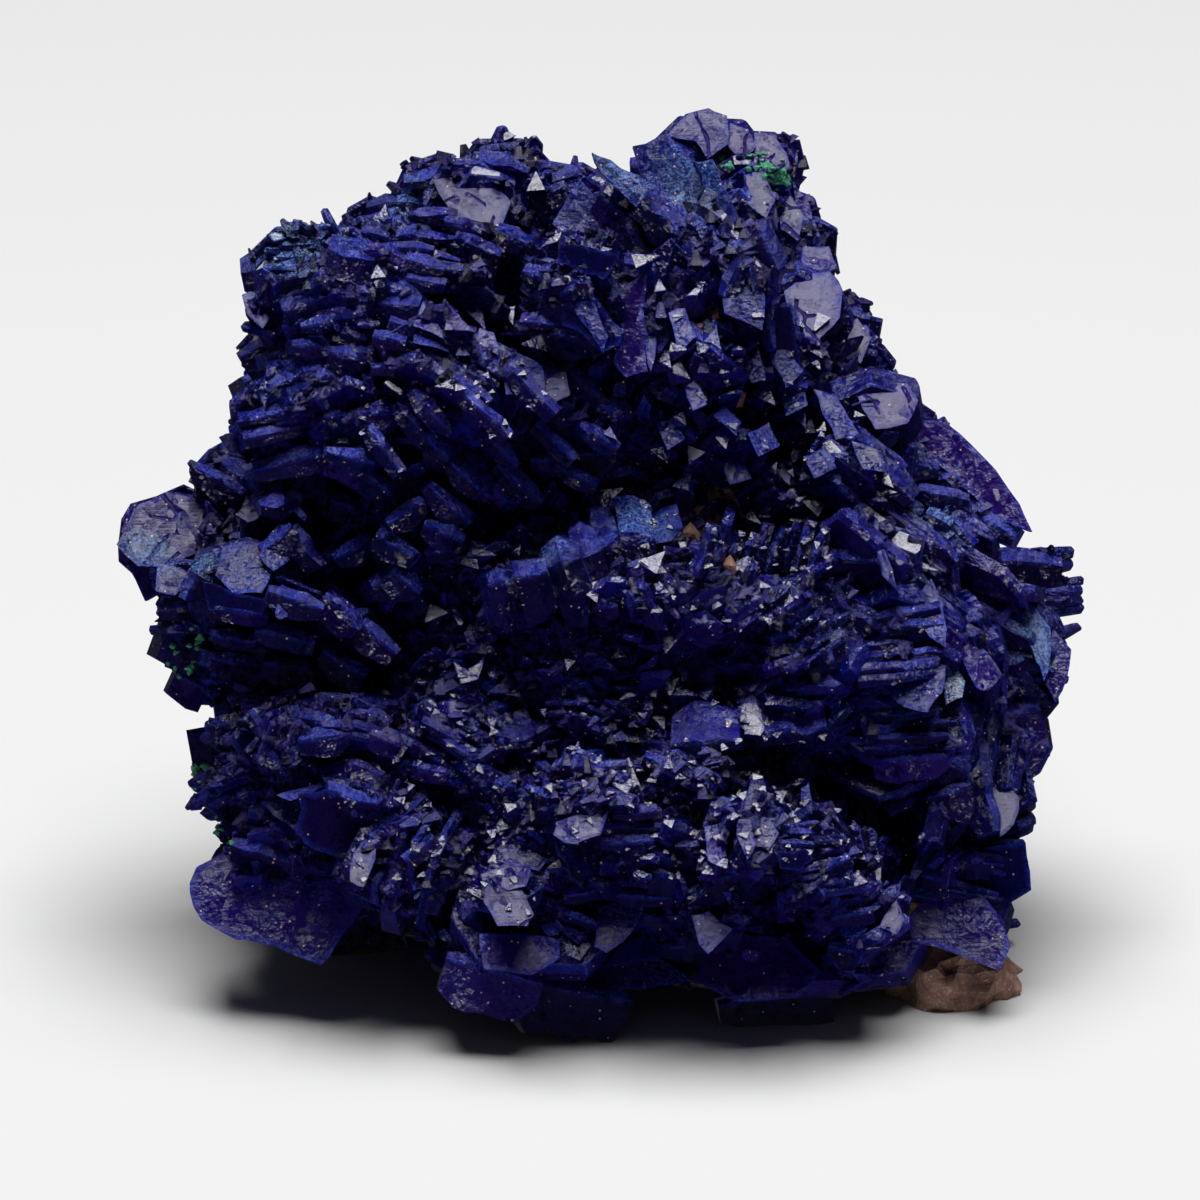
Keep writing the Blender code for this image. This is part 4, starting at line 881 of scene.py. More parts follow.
        (-5.2, -10.0, -3.4, -10.6, 0.6, 0.6, "worn"), (-1.8, -12.8, -0.8, -12.6, 0.8, 0.8, "worn"),
        (-6.6, -8.6, -6.0, -9.8, 0.8, 0.8, "worn"), (-12.2, -18.4, -11.4, -20.6, 0.5, 0.6, "worn"),
        (-11.9, -21.6, -10.2, -24.0, 0.5, 0.6, "worn"), (-10.9, -21.2, -9.2, -23.8, 0.4, 0.5, "worn"),
        (-9.6, -23.6, -8.0, -25.4, 0.5, 0.5, "worn"), (-8.4, -22.6, -7.2, -21.6, 0.8, 1.8, "worn"),
        (14.4, -19.4, 16.2, -18.4, 0.4, 0.8, "worn"), (15.1, -22.4, 17.8, -21.9, 0.3, 1.0, "silver"),
        (14.9, -24.2, 17.2, -24.6, 0.5, 1.2, "worn"),
    ),
}

# Single crystal faces that show whole: how each is finished, and its outline, across and up the show face.
facets = {
    "piece": "broad_crystal_faces", "rise": 0.25, "clear": 0.8, "keptClear": 3.0, "back": 4.0, "fade": 0.55,
    "ragged": 0.07, "section": 1.0,
    "rows": (
        ("grey", -10.5, 25.2, -8.1, 25.4, -6.1, 24.4, -5.4, 23.7, -6.3, 21.4, -8.1, 22.0, -9.5, 23.4),
        ("pale", -30.9, 1.4, -29.5, 4.0, -27.7, 4.8, -24.8, 4.3, -24.1, 2.5, -24.6, 1.4, -27.2, 0.1, -29.5,
         0.0),
        ("grey", 12.3, 17.8, 13.4, 19.0, 15.3, 19.1, 16.1, 17.9, 15.9, 16.1, 13.8, 13.7, 12.9, 15.3),
        ("grey", 17.0, 10.9, 18.6, 11.8, 20.2, 11.8, 20.9, 10.7, 20.2, 9.2, 18.1, 8.8),
        ("grey", -3.3, 12.7, -1.8, 12.5, -1.5, 10.9, -2.7, 10.3, -3.3, 11.3),
        ("grey", -7.2, -19.6, -5.8, -19.1, -4.7, -20.3, -3.8, -22.1, -4.2, -22.8, -6.1, -22.8, -7.0, -21.3),
        ("grey", 25.4, -14.4, 26.5, -14.1, 27.4, -14.9, 27.0, -16.6, 26.1, -17.4),
        ("silver", -22.6, 17.4, -21.8, 17.6, -20.8, 15.9, -21.2, 15.2, -22.2, 16.1),
        ("silver", -23.8, 1.2, -22.4, 1.6, -20.6, 1.3, -20.2, 0.3, -21.2, -1.7, -23.0, -1.8, -24.2, -0.6),
        ("mirror", 9.2, -9.0, 10.3, -8.6, 10.8, -10.1, 10.0, -10.8, 9.2, -10.1),
        ("mirror", -9.0, -6.1, -8.1, -6.6, -7.0, -5.8, -7.4, -7.2, -8.5, -7.5),
        ("mirror", -1.8, -24.0, -0.7, -23.3, 0.1, -23.8, -0.9, -25.1, -1.7, -24.8),
        ("slab", -0.9, 24.9, -2.7, 22.0, 0.4, 19.3, 1.65, 20.4, 0.8, 22.8),
        ("slab", -0.15, 26.5, 0.4, 25.3, 4.3, 21.1, 6.9, 19.1, 7.25, 19.7, 4.7, 23.8, 1.1, 26.0),
        ("slab", 2.5, 27.1, 4.7, 28.0, 6.2, 26.2, 7.8, 23.1, 7.2, 21.1, 4.9, 23.8, 2.9, 25.6),
        ("slab", 5.1, 28.0, 6.5, 28.7, 8.3, 26.2, 8.9, 23.3, 8.1, 23.0, 6.3, 26.1),
        ("slab", -1.8, 19.1, -0.7, 19.1, 0.9, 14.6, 0.6, 13.5, -0.3, 15.0, -1.95, 17.2),
        ("slab", 7.8, 21.0, 10.1, 19.7, 10.9, 17.2, 10.7, 15.0, 8.3, 16.1, 8.1, 19.0),
        ("dark", 11.6, 16.8, 12.6, 16.6, 13.0, 14.0, 13.5, 12.6, 13.0, 10.3, 11.9, 12.1, 11.2, 14.6),
        ("dark", -2.2, 20.4, -0.4, 20.3, 1.6, 19.8, 0.6, 18.2, -0.8, 18.6, -2.3, 19.4),
        ("dark", -1.3, 17.6, -2.2, 16.6, -2.0, 15.3, -0.8, 14.8, 0.5, 13.6, 1.5, 14.0, 1.8, 14.6, 0.2, 17.0),
        ("violet", 1.2, 17.3, 2.2, 18.0, 3.4, 18.8, 3.2, 15.6, 3.4, 12.4, 2.0, 12.0, 1.2, 13.0, 1.8, 15.0),
        ("blue", 3.3, 18.9, 3.9, 18.4, 3.95, 14.0, 3.6, 12.3, 3.3, 14.0, 3.2, 16.0),
        ("pale", 4.7, 28.2, 6.0, 29.6, 7.5, 30.0, 8.7, 29.5, 8.8, 27.6, 7.4, 26.6, 6.6, 27.8),
        ("pale", 8.9, 29.0, 10.0, 28.6, 10.6, 27.4, 9.8, 26.6, 8.8, 27.4),
        ("grey", 10.5, 28.4, 11.8, 28.3, 12.6, 27.0, 12.8, 26.0, 11.8, 25.4, 10.6, 26.6),
        ("grey", 9.6, 25.0, 10.8, 25.2, 11.6, 23.4, 11.0, 22.2, 9.8, 23.2),
        ("grey", 12.0, 23.9, 12.9, 24.2, 13.7, 22.8, 13.3, 21.2, 12.2, 22.0),
        ("violet", 12.9, 25.4, 13.9, 24.2, 14.3, 22.9, 14.9, 21.4, 13.8, 21.0, 13.4, 23.0),
        ("slab", 6.5, 25.9, 7.6, 26.1, 9.4, 21.9, 9.6, 19.9, 8.6, 19.7, 7.8, 22.6),
        ("tip", 4.7, 16.1, 5.8, 16.4, 6.5, 14.6, 5.4, 13.5),
        ("tip", 9.4, 12.5, 10.5, 13.9, 11.0, 11.9, 10.1, 11.7),
        ("tip", 11.2, 13.5, 12.3, 14.3, 13.4, 12.5, 12.3, 11.4),
        ("tip", 7.6, 9.6, 8.3, 10.3, 9.4, 9.2, 9.1, 8.3),
        ("tip", 12.0, 10.8, 13.4, 11.9, 13.7, 10.3, 12.3, 9.6),
        ("tip", 14.1, 11.4, 15.5, 11.0, 17.0, 8.5, 15.5, 8.1),
        ("tip", 16.5, 8.0, 18.1, 7.5, 18.6, 6.0, 17.2, 6.2),
        ("tip", 5.8, 11.4, 6.5, 11.9, 7.2, 10.3, 6.3, 9.9), ("tip", 4.0, 9.2, 5.1, 9.9, 5.8, 8.1, 4.7, 7.4),
        ("tip", 9.8, 8.5, 11.2, 9.2, 11.9, 7.7, 10.5, 7.0),
        ("tip", 13.4, 7.0, 14.8, 7.7, 15.5, 6.3, 14.1, 5.6),
        ("tip", 8.0, 6.7, 9.1, 7.4, 10.1, 5.6, 8.7, 5.2),
        ("silver", 13.6, 20.8, 15.3, 20.8, 15.8, 19.4, 14.6, 18.9, 13.4, 19.4),
        ("grey", 16.0, 15.4, 17.2, 16.2, 18.1, 14.9, 17.4, 13.2, 16.2, 13.6),
        ("silver", -21.4, 3.9, -20.1, 5.4, -19.8, 4.0, -20.4, 3.7),
        ("blue", -20.0, 5.3, -18.4, 3.2, -18.6, 2.9, -19.8, 3.8),
        ("blue", -21.4, 0.7, -20.8, 2.0, -19.9, 3.0, -19.2, 1.4, -19.5, 0.4, -20.5, -0.3),
        ("grey", -23.0, 3.3, -22.3, 4.0, -21.5, 3.9, -21.4, 3.2, -22.2, 2.8),
        ("silver", -28.2, 0.1, -27.2, 0.2, -26.2, -0.4, -26.6, -1.3, -27.0, -1.9, -28.3, -1.6),
        ("dark", -30.6, 0.1, -28.3, 0.0, -28.4, -1.7, -29.4, -2.3, -30.0, -0.9),
        ("dark", -25.0, -1.0, -22.0, -1.9, -20.6, -2.1, -21.2, -3.1, -24.6, -2.8),
        ("blue", -20.3, -3.0, -19.9, -1.2, -18.6, -1.8, -19.0, -2.9, -20.0, -3.4),
        ("blue", -17.6, -12.9, -15.9, -12.4, -15.5, -13.6, -14.6, -14.5, -16.9, -14.1),
        ("dark", -18.8, -14.5, -17.0, -14.2, -15.2, -15.6, -14.5, -16.2, -15.5, -18.2, -16.1, -18.7, -18.5,
         -17.6, -19.0, -16.9, -18.6, -15.5),
        ("silver", -20.3, -14.6, -18.8, -14.2, -17.2, -13.6, -17.3, -14.1, -19.4, -15.0),
        ("silver", -21.3, -15.1, -19.3, -15.0, -18.8, -16.0, -18.9, -17.0, -20.3, -16.1),
        ("mirror", -21.7, -17.2, -21.0, -16.8, -20.7, -17.4),
        ("violet", -25.6, -19.4, -23.0, -17.9, -20.0, -18.3, -16.8, -19.7, -14.5, -21.5, -16.0, -23.5,
         -17.5, -25.6, -20.5, -24.4, -23.0, -24.0, -25.2, -22.8, -26.0, -21.0),
        ("grey", -15.5, -20.0, -15.3, -18.3, -14.6, -17.2, -13.9, -17.6, -13.9, -18.6, -14.6, -20.4),
        ("dark", -17.4, -25.5, -15.9, -23.3, -14.6, -22.0, -13.4, -22.4, -12.0, -25.6, -13.5, -26.0, -16.2,
         -26.0),
        ("silver", -10.9, -24.6, -9.7, -24.6, -9.1, -25.6, -9.9, -25.8, -10.6, -25.2),
        ("silver", -6.9, -19.5, -5.5, -18.8, -4.0, -19.1, -4.3, -20.3, -5.5, -20.6, -6.1, -20.4),
        ("silver", -2.4, -16.2, -0.5, -15.6, 1.0, -15.3, 0.4, -17.0, -1.2, -17.6, -2.6, -17.0),
        ("silver", -2.5, -17.2, -1.2, -17.4, -0.4, -18.4, -0.8, -19.6, -2.3, -18.4),
        ("silver", -6.2, -18.0, -4.2, -18.0, -2.9, -18.7, -3.5, -19.4, -5.6, -18.8),
        ("foot", 0.3, -21.9, 1.5, -21.4, 3.2, -21.7, 2.4, -23.3, 0.8, -24.6, 0.0, -24.2),
        ("blue", 4.9, -22.2, 5.6, -21.6, 5.8, -22.4, 5.2, -22.6),
        ("foot", 1.6, -24.4, 3.0, -23.6, 4.5, -24.3, 4.2, -25.2, 0.6, -25.6),
        ("foot", 6.2, -22.2, 7.3, -21.9, 8.8, -23.0, 7.2, -24.6, 6.5, -23.4),
        ("foot", 7.0, -24.9, 9.0, -23.5, 12.3, -23.8, 14.5, -26.0, 13.0, -27.6, 9.0, -27.8, 6.5, -26.5),
        ("foot", -2.0, -25.4, 0.6, -25.0, 4.4, -25.3, 6.4, -26.6, 3.0, -27.2, -1.0, -27.0),
        ("blue", 6.6, -19.9, 9.0, -19.4, 8.6, -21.4, 7.9, -20.3),
        ("silver", 9.0, -16.1, 9.9, -16.0, 10.2, -17.5, 9.7, -18.5, 9.0, -17.0),
        ("silver", 10.4, -15.9, 11.1, -16.0, 11.7, -16.9, 11.0, -18.0, 10.3, -17.2),
        ("silver", 7.0, -16.5, 7.8, -16.3, 8.2, -18.9, 7.2, -18.6),
        ("dark", 11.7, -18.1, 13.4, -17.9, 13.9, -18.6, 13.0, -19.3, 11.8, -19.2),
        ("mirror", 1.0, -10.4, 1.9, -10.2, 2.9, -10.8, 3.1, -11.3, 1.8, -11.2),
        ("mirror", 2.1, -9.6, 2.8, -9.6, 2.9, -10.3, 2.2, -10.3),
        ("mirror", 3.2, -10.8, 4.2, -10.6, 4.1, -11.1, 3.3, -11.2),
        ("mirror", -1.5, -12.0, -1.0, -11.1, -0.7, -11.9),
        ("mirror", -5.2, -9.4, -4.4, -9.0, -4.1, -9.6, -4.8, -9.7),
        ("mirror", -5.2, -6.8, -4.6, -6.6, -4.2, -7.1, -4.8, -7.4),
        ("mirror", 3.4, -7.9, 4.1, -7.9, 4.2, -8.4, 3.5, -8.6),
        ("mirror", 9.6, -9.2, 10.4, -9.4, 10.9, -10.2, 10.6, -10.8, 9.6, -10.7),
        ("mirror", 8.8, -4.6, 9.5, -4.5, 9.9, -5.0, 9.4, -5.4, 8.9, -5.2),
        ("blue", -1.6, -7.9, -1.3, -6.7, -0.3, -8.6, -0.9, -9.0),
        ("foot", -7.3, -23.4, -5.0, -23.4, -2.2, -23.8, -2.2, -25.0, -4.0, -26.0, -7.0, -25.6),
        ("silver", -3.4, -22.9, -2.0, -22.5, -2.3, -23.5, -2.9, -23.6),
        ("blue", 13.2, -14.2, 13.7, -13.8, 14.0, -15.5, 13.9, -17.0, 13.2, -16.0),
        ("blue", 14.2, -19.2, 15.3, -19.3, 14.6, -21.0, 14.2, -20.4),
        ("blue", 17.4, -19.6, 18.3, -19.0, 18.4, -20.8, 17.8, -20.6),
        ("blue", 18.4, -18.9, 19.9, -18.2, 19.6, -19.7, 18.9, -19.4),
        ("blue", 18.3, -20.9, 19.6, -20.3, 19.4, -21.2, 18.8, -22.2, 18.2, -21.6),
        ("blue", 15.0, -20.9, 16.2, -20.5, 15.8, -21.6, 15.2, -21.8),
        ("blue", 13.9, -22.2, 14.8, -22.0, 15.0, -23.3, 13.9, -23.9),
        ("blue", 15.4, -22.9, 17.7, -22.5, 17.4, -23.2, 16.2, -24.2),
        ("grey", 18.8, -22.0, 19.3, -21.2, 19.8, -22.5, 19.3, -23.5, 18.2, -23.0),
        ("blue", 16.6, 3.9, 18.2, 3.0, 18.5, 1.2, 19.5, -1.9, 18.4, -0.6, 17.8, 2.1),
        ("blue", 18.8, 2.7, 20.6, 2.2, 21.2, 1.5, 20.8, 0.2, 19.6, 0.5),
        ("violet", 20.0, 9.6, 22.8, 9.3, 24.5, 7.8, 26.0, 6.2, 27.5, 4.0, 28.3, 2.2, 26.0, 3.0, 24.5, 4.6,
         22.0, 6.8, 20.5, 7.6),
        ("blue", 24.6, -2.0, 26.5, -1.9, 28.5, -2.6, 29.5, -4.0, 29.4, -6.0, 29.0, -7.4, 28.2, -5.2, 27.0,
         -3.8, 26.0, -3.2),
        ("violet", 29.7, -4.0, 30.9, -5.4, 30.6, -7.2, 29.8, -8.8, 29.2, -7.6, 29.6, -5.5),
        ("violet", 22.5, -3.6, 23.6, -3.9, 25.2, -5.5, 26.2, -7.0, 25.2, -8.0, 24.5, -7.8, 23.6, -5.9),
        ("blue", 17.8, -7.2, 19.0, -6.9, 21.4, -6.7, 22.4, -6.5, 22.2, -8.0, 21.2, -9.3, 19.8, -9.0),
        ("mirror", 22.4, -5.6, 22.9, -5.8, 23.8, -7.4, 23.6, -8.4, 22.5, -8.9, 22.4, -7.0),
        ("blue", 21.0, -1.6, 21.6, -0.8, 22.3, -2.5, 22.4, -5.2, 21.5, -4.6, 20.3, -2.9),
        ("blue", 20.2, -17.1, 20.4, -17.4, 20.0, -19.0, 19.8, -18.2),
        ("blue", 20.9, -18.0, 21.2, -17.8, 21.2, -19.5, 20.4, -20.4, 20.2, -20.2),
        ("violet", 20.3, -22.6, 21.5, -21.3, 24.0, -20.6, 25.2, -21.4, 26.4, -22.8, 26.8, -24.5, 26.0,
         -26.0, 22.0, -24.5, 20.5, -24.2),
        ("dark", 25.2, -18.2, 27.8, -17.8, 28.2, -20.9, 26.8, -21.8, 25.2, -21.0),
        ("blue", -5.9, 12.3, -4.8, 13.5, -3.6, 13.0, -3.2, 12.4, -3.2, 10.8, -5.6, 10.9),
        ("silver", -10.9, 16.9, -11.5, 15.3, -9.5, 14.4), ("silver", -11.3, 15.2, -11.5, 14.2, -9.2, 13.6),
        ("silver", -9.2, 16.5, -9.5, 15.0, -7.6, 14.9),
        ("silver", -7.3, 15.2, -7.6, 14.3, -6.1, 13.4, -6.4, 14.9),
        ("mirror", -8.5, 14.4, -8.8, 13.4, -7.9, 13.4),
        ("silver", -8.2, 17.8, -8.6, 16.8, -6.9, 15.0, -7.1, 16.2),
        ("mirror", 7.0, 14.3, 7.8, 15.4, 8.1, 13.8), ("mirror", 9.6, 13.0, 10.6, 13.9, 11.0, 12.3),
        ("mirror", 9.4, 12.8, 10.9, 12.1, 11.0, 11.5, 10.2, 12.2),
        ("mirror", 11.5, 12.4, 12.2, 13.7, 12.4, 12.9), ("mirror", 4.3, 13.9, 4.2, 13.2, 5.0, 12.6),
        ("mirror", 7.5, 9.3, 8.2, 10.2, 8.3, 9.0), ("mirror", 8.4, 9.0, 9.0, 9.8, 9.0, 8.5),
        ("mirror", 12.3, 9.9, 13.6, 9.9, 13.6, 8.9), ("mirror", 11.6, 8.7, 12.3, 8.8, 12.9, 7.7),
        ("mirror", 10.4, 6.1, 10.9, 6.6, 11.5, 5.3), ("mirror", 11.5, 6.2, 12.6, 6.4, 12.6, 5.2),
        ("mirror", 13.2, 5.5, 13.5, 6.2, 14.0, 5.7), ("mirror", 13.4, 4.9, 14.0, 5.1, 14.6, 4.5),
        ("grey", 14.2, 6.9, 14.9, 7.4, 15.4, 6.7), ("mirror", 14.8, 5.8, 15.9, 6.0, 15.8, 5.2),
        ("mirror", 0.6, 8.4, 1.0, 8.9, 1.5, 8.0), ("grey", 17.7, 3.9, 18.3, 4.4, 18.6, 3.8),
    ),
}

# How each kind of face is finished: what it leans to, how worn, how violet, how shiny, and how light its
# colour is, set low on the dark kind as painted shade.
faceKinds = {
    "worn": {"wear": (0.35, 0.80), "tone": (0.1, 0.5), "shine": (0.1, 0.6), "shade": (0.4, 1.0)},
    "slab": {"lean": (10, 20), "yaw": 8, "wear": (0.2, 0.45), "tone": (0.0, 0.3), "shine": (0.1, 0.5),
             "shade": (0.2, 0.7), "rise": -0.6},
    "foot": {"lean": (24, 34), "yaw": 10, "wear": (0.05, 0.16), "tone": (0.4, 0.9), "shine": (0.3, 0.8),
             "shade": (0.5, 1.0), "rise": 0.9},
    "tip": {"lean": (24, 38), "yaw": 12, "wear": (0.05, 0.3), "tone": (0.0, 0.5), "shine": (0.3, 0.9),
            "shade": (0.4, 1.0), "rise": 1.3},
    "pale": {"lean": (24, 28), "yaw": 3, "wear": (0.0, 0.08), "tone": (0.4, 0.8), "shine": (0.1, 0.5),
             "shade": (0.3, 0.8)},
    "blue": {"lean": (20, 34), "yaw": 14, "wear": (0.12, 0.35), "tone": (0.0, 0.3), "shine": (0.1, 0.5),
             "shade": (0.4, 0.9), "rise": -0.5},
    "silver": {"lean": (32, 40), "yaw": 4, "wear": (0.06, 0.25), "tone": (0.3, 0.7), "shine": (0.3, 0.8),
               "shade": (0.3, 1.0)},
    "violet": {"lean": (8, 22), "yaw": 12, "wear": (0.03, 0.15), "tone": (0.6, 1.0), "shine": (0.4, 0.9),
               "shade": (0.5, 1.0)},
    # dark faces lean down under others, and their colour is darkened further as painted shade
    "dark": {"lean": (-24, -4), "yaw": 14, "wear": (0.0, 0.06), "tone": (0.2, 0.9), "shine": (0.5, 1.0),
             "shade": (0.0, 0.3)},
    "grey": {"lean": (32, 37), "yaw": 3, "wear": (0.0, 0.06), "tone": (0.4, 0.8), "shine": (0.1, 0.5),
             "shade": (0.3, 0.8)},
    "mirror": {"lean": (33.5, 36.5), "yaw": 2, "wear": (0.0, 0.0), "tone": (0.4, 0.6), "shine": (0.8, 1.0),
               "shade": (0.3, 0.8)},
}


def heightOver(tree, places, share, normal=frontward):
    # how far out a face of this normal has to stand at the middle of the places to clear that share of them
    middle = onFace(*(sum(values) / len(places) for values in zip(*places)), 0)
    found = []
    for x, y in places:
        hit = tree.ray_cast(onFace(x, y, showFace["reach"]), -frontward)[0] or onFace(x, y, -5)
        found.append((hit - middle).dot(normal) / frontward.dot(normal) / mm)
    return sorted(found)[int(share * (len(found) - 1))]


# kinds are listed with the direction that each one's faces look in
def paintKinds(bm, kinds, flatFinish, rng):
    bm.normal_update()
    rim = bm.verts.layers.float["rim"]
    grain = bm.loops.layers.uv.new("grain")
    finish = bm.loops.layers.float_color.new("finish")
    shiftU, shiftV = rng.uniform(0, 9), rng.uniform(0, 9)
    drawn = [(way, kind, [rng.uniform(*faceKinds[kind][key]) for key in ("wear", "tone", "shine", "shade")])
             for way, kind in kinds]
    for face in bm.faces:
        way, kind, (wear, tone, shine, shade) = max(drawn, key=lambda entry: entry[0].dot(face.normal))
        glassy = kind in ("mirror", "grey", "pale") and face.normal.dot(way) > 0.9
        for loop in face.loops:
            x, y, z = (value / (10 * mm) for value in loop.vert.co)
            worn = wear + (1 - wear) * loop.vert[rim] * (0.5 if glassy else 0.85)
            loop[finish] = (worn, tone, shine, shade)
            loop[grain].uv = (x + shiftU, y + shiftV)
        face.material_index = {"grey": 1, "pale": 1, "mirror": 2}[kind] if glassy else flatFinish


def growLedges(stock, tree):
    # a ledge is a chain of short sections, each a blunt wedge with a lit band over a dark front
    look = ledges
    for row in look["rows"]:
        x1, y1, x2, y2, band, front, kind, *lift = row
        rng = random.Random(str(row))
        width = math.hypot(x2 - x1, y2 - y1)
        edge = (alongFace(x2 - x1, y2 - y1, 0) + frontward * rng.gauss(0, look["turn"])).normalized()
        upright = frontward.cross(edge).normalized()
        axes = Matrix((edge, upright, edge.cross(upright))).transposed()
        along = [(x1 + (x2 - x1) * share, y1 + (y2 - y1) * share) for share in (0.1, 0.5, 0.9)]
        out = heightOver(tree, along, 0.5) + look["rise"] + sum(lift)
        middle = onFace(0.5 * (x1 + x2), 0.5 * (y1 + y2), out)
        up, down = (math.radians(rng.uniform(*look[key])) for key in ("bandLean", "frontLean"))
        bm = bmesh.new()
        rim = bm.verts.layers.float.new("rim")
        count = max(2, round(width / look["section"]))
        reach = min(0.35, 0.4 * front)
        rings = []
        for number in range(count + 1):
            share = number / count
            x = (share - 0.5) * width + (rng.gauss(0, 0.16) * width / count if 0 < number < count else 0)
            end = number in (0, count)
            small = rng.uniform(*look["endShare" if end else "middleShare"])
            rise = rng.gauss(0, look["ragged"]) * band
            push = rng.gauss(0, look["ragged"]) - (0.35 if end else 0)
            section = (
                (rise, push, 1.0), (-reach * small, push - look["fall"] * reach, 0.0),
                (-front * small, push - front * math.tan(down), 0.0), (-front * small, -look["depth"], 0.0),
                (band * small, -look["depth"], 0.3),
                (band * small + rise, push - band * small * math.tan(up), 0.3),
            )
            ring = []
            for y, z, worn in section:
                vert = bm.verts.new(Vector((x, y, z)) * mm)
                vert[rim] = worn
                ring.append(vert)
            rings.append(ring)
        for ring, other in zip(rings, rings[1:]):
            for index in range(6):
                bm.faces.new((ring[index], ring[(index + 1) % 6], other[(index + 1) % 6], other[index]))
        bm.faces.new(rings[0][::-1])
        bm.faces.new(rings[-1])
        bmesh.ops.recalc_face_normals(bm, faces=bm.faces)
        bmesh.ops.triangulate(bm, faces=bm.faces)
        bandWay = Vector((0, math.sin(up), math.cos(up)))
        frontWay = Vector((0, -math.sin(down), math.cos(down)))
        # the front takes the dark kind unless the ledge is violet, its colour darkened as painted shade under
        # the band
        paintKinds(bm, ((bandWay, kind), (frontWay, "violet" if kind == "violet" else "dark")), 0, rng)
        bm.transform(Matrix.Translation(middle) @ axes.to_4x4())
        cutAtGround(bm)
        takeIn(stock, bm)


def growFacets(stock, tree):
    look = facets
    for kind, *numbers in look["rows"]:
        outline = outlineOf(numbers)
        rng = random.Random(str(outline))
        known = faceKinds[kind]
        normal = facing(rng.gauss(0, known["yaw"]), rng.uniform(*known["lean"]))
        across = (alongFace(1, 0, 0) - normal * normal.dot(alongFace(1, 0, 0))).normalized()
        axes = Matrix((across, normal.cross(across), normal)).transposed()
        x, y = (sum(values) / len(outline) for values in zip(*outline))
        inner = [(x + (px - x) * part, y + (py - y) * part) for px, py in outline for part in (0.3, 0.6, 0.9)]
        rise = known.get("rise", look["rise"])
        middle = onFace(x, y, heightOver(tree, inner, look["clear"], normal) + rise)
        flat = []
        for px, py in outline:
            point = onFace(px, py, 0)
            point += frontward * ((middle - point).dot(normal) / frontward.dot(normal))
            flat.append(axes.transposed() @ (point - middle))
        ragged = []
        for start, end in zip(flat, flat[1:] + flat[:1]):
            aside = Vector((end.y - start.y, start.x - end.x, 0)).normalized()
            pieces = max(2, round((end - start).length / (look["section"] * mm)))
            ragged.append(start)
            for number in range(1, pieces):
                corner = start.lerp(end, (number + rng.uniform(-0.3, 0.3)) / pieces)
                ragged.append(corner + aside * (rng.gauss(0, look["ragged"]) * mm))
        bm = bmesh.new()
        rim = bm.verts.layers.float.new("rim")
        front = bm.faces.new([bm.verts.new((point.x, point.y, 0)) for point in ragged])
        for vert in bm.verts:
            vert[rim] = 1.0
        size = front.calc_area() / front.calc_perimeter() / mm
        grown = bmesh.ops.extrude_face_region(bm, geom=[front])["geom"]
        pushed = [item for item in grown if isinstance(item, bmesh.types.BMVert)]
        bmesh.ops.translate(bm, verts=pushed, vec=axes.transposed() @ (frontward * (-look["back"] * mm)))
        bmesh.ops.recalc_face_normals(bm, faces=bm.faces)
        for vert in pushed:
            vert[rim] = 0.0
        front = max(bm.faces, key=lambda face: face.normal.z * face.calc_area())
        bmesh.ops.inset_individual(bm, faces=[front], thickness=min(look["fade"], 0.5 * size) * mm,
                                   use_even_offset=False, depth=0.04 * mm)
        for vert in front.verts:
            vert[rim] = 0.0
        paintKinds(bm, ((Vector((0, 0, 1)), kind),), 3, rng)
        bm.transform(Matrix.Translation(middle) @ axes.to_4x4())
        cutAtGround(bm)
        takeIn(stock, bm)


druse = {
    "count": 8500, "size": (0.45, 1.2), "kinds": 8, "facingLamp": 0.16, "fromFront": 0.72, "across": 32,
    "up": 31, "lowest": 0.9, "lowestWay": -0.4, "aim": 0.10, "leaning": 0.45,
    "smooth": (15, -26, 12),  # few of them right of this and between these heights
    "glittering": ((0, -11, 14, 8), (-3, -19, 12, 4), (9, 8, 5, 9), (-9, 8, 6, 5), (13, -15, 5, 5)),
}


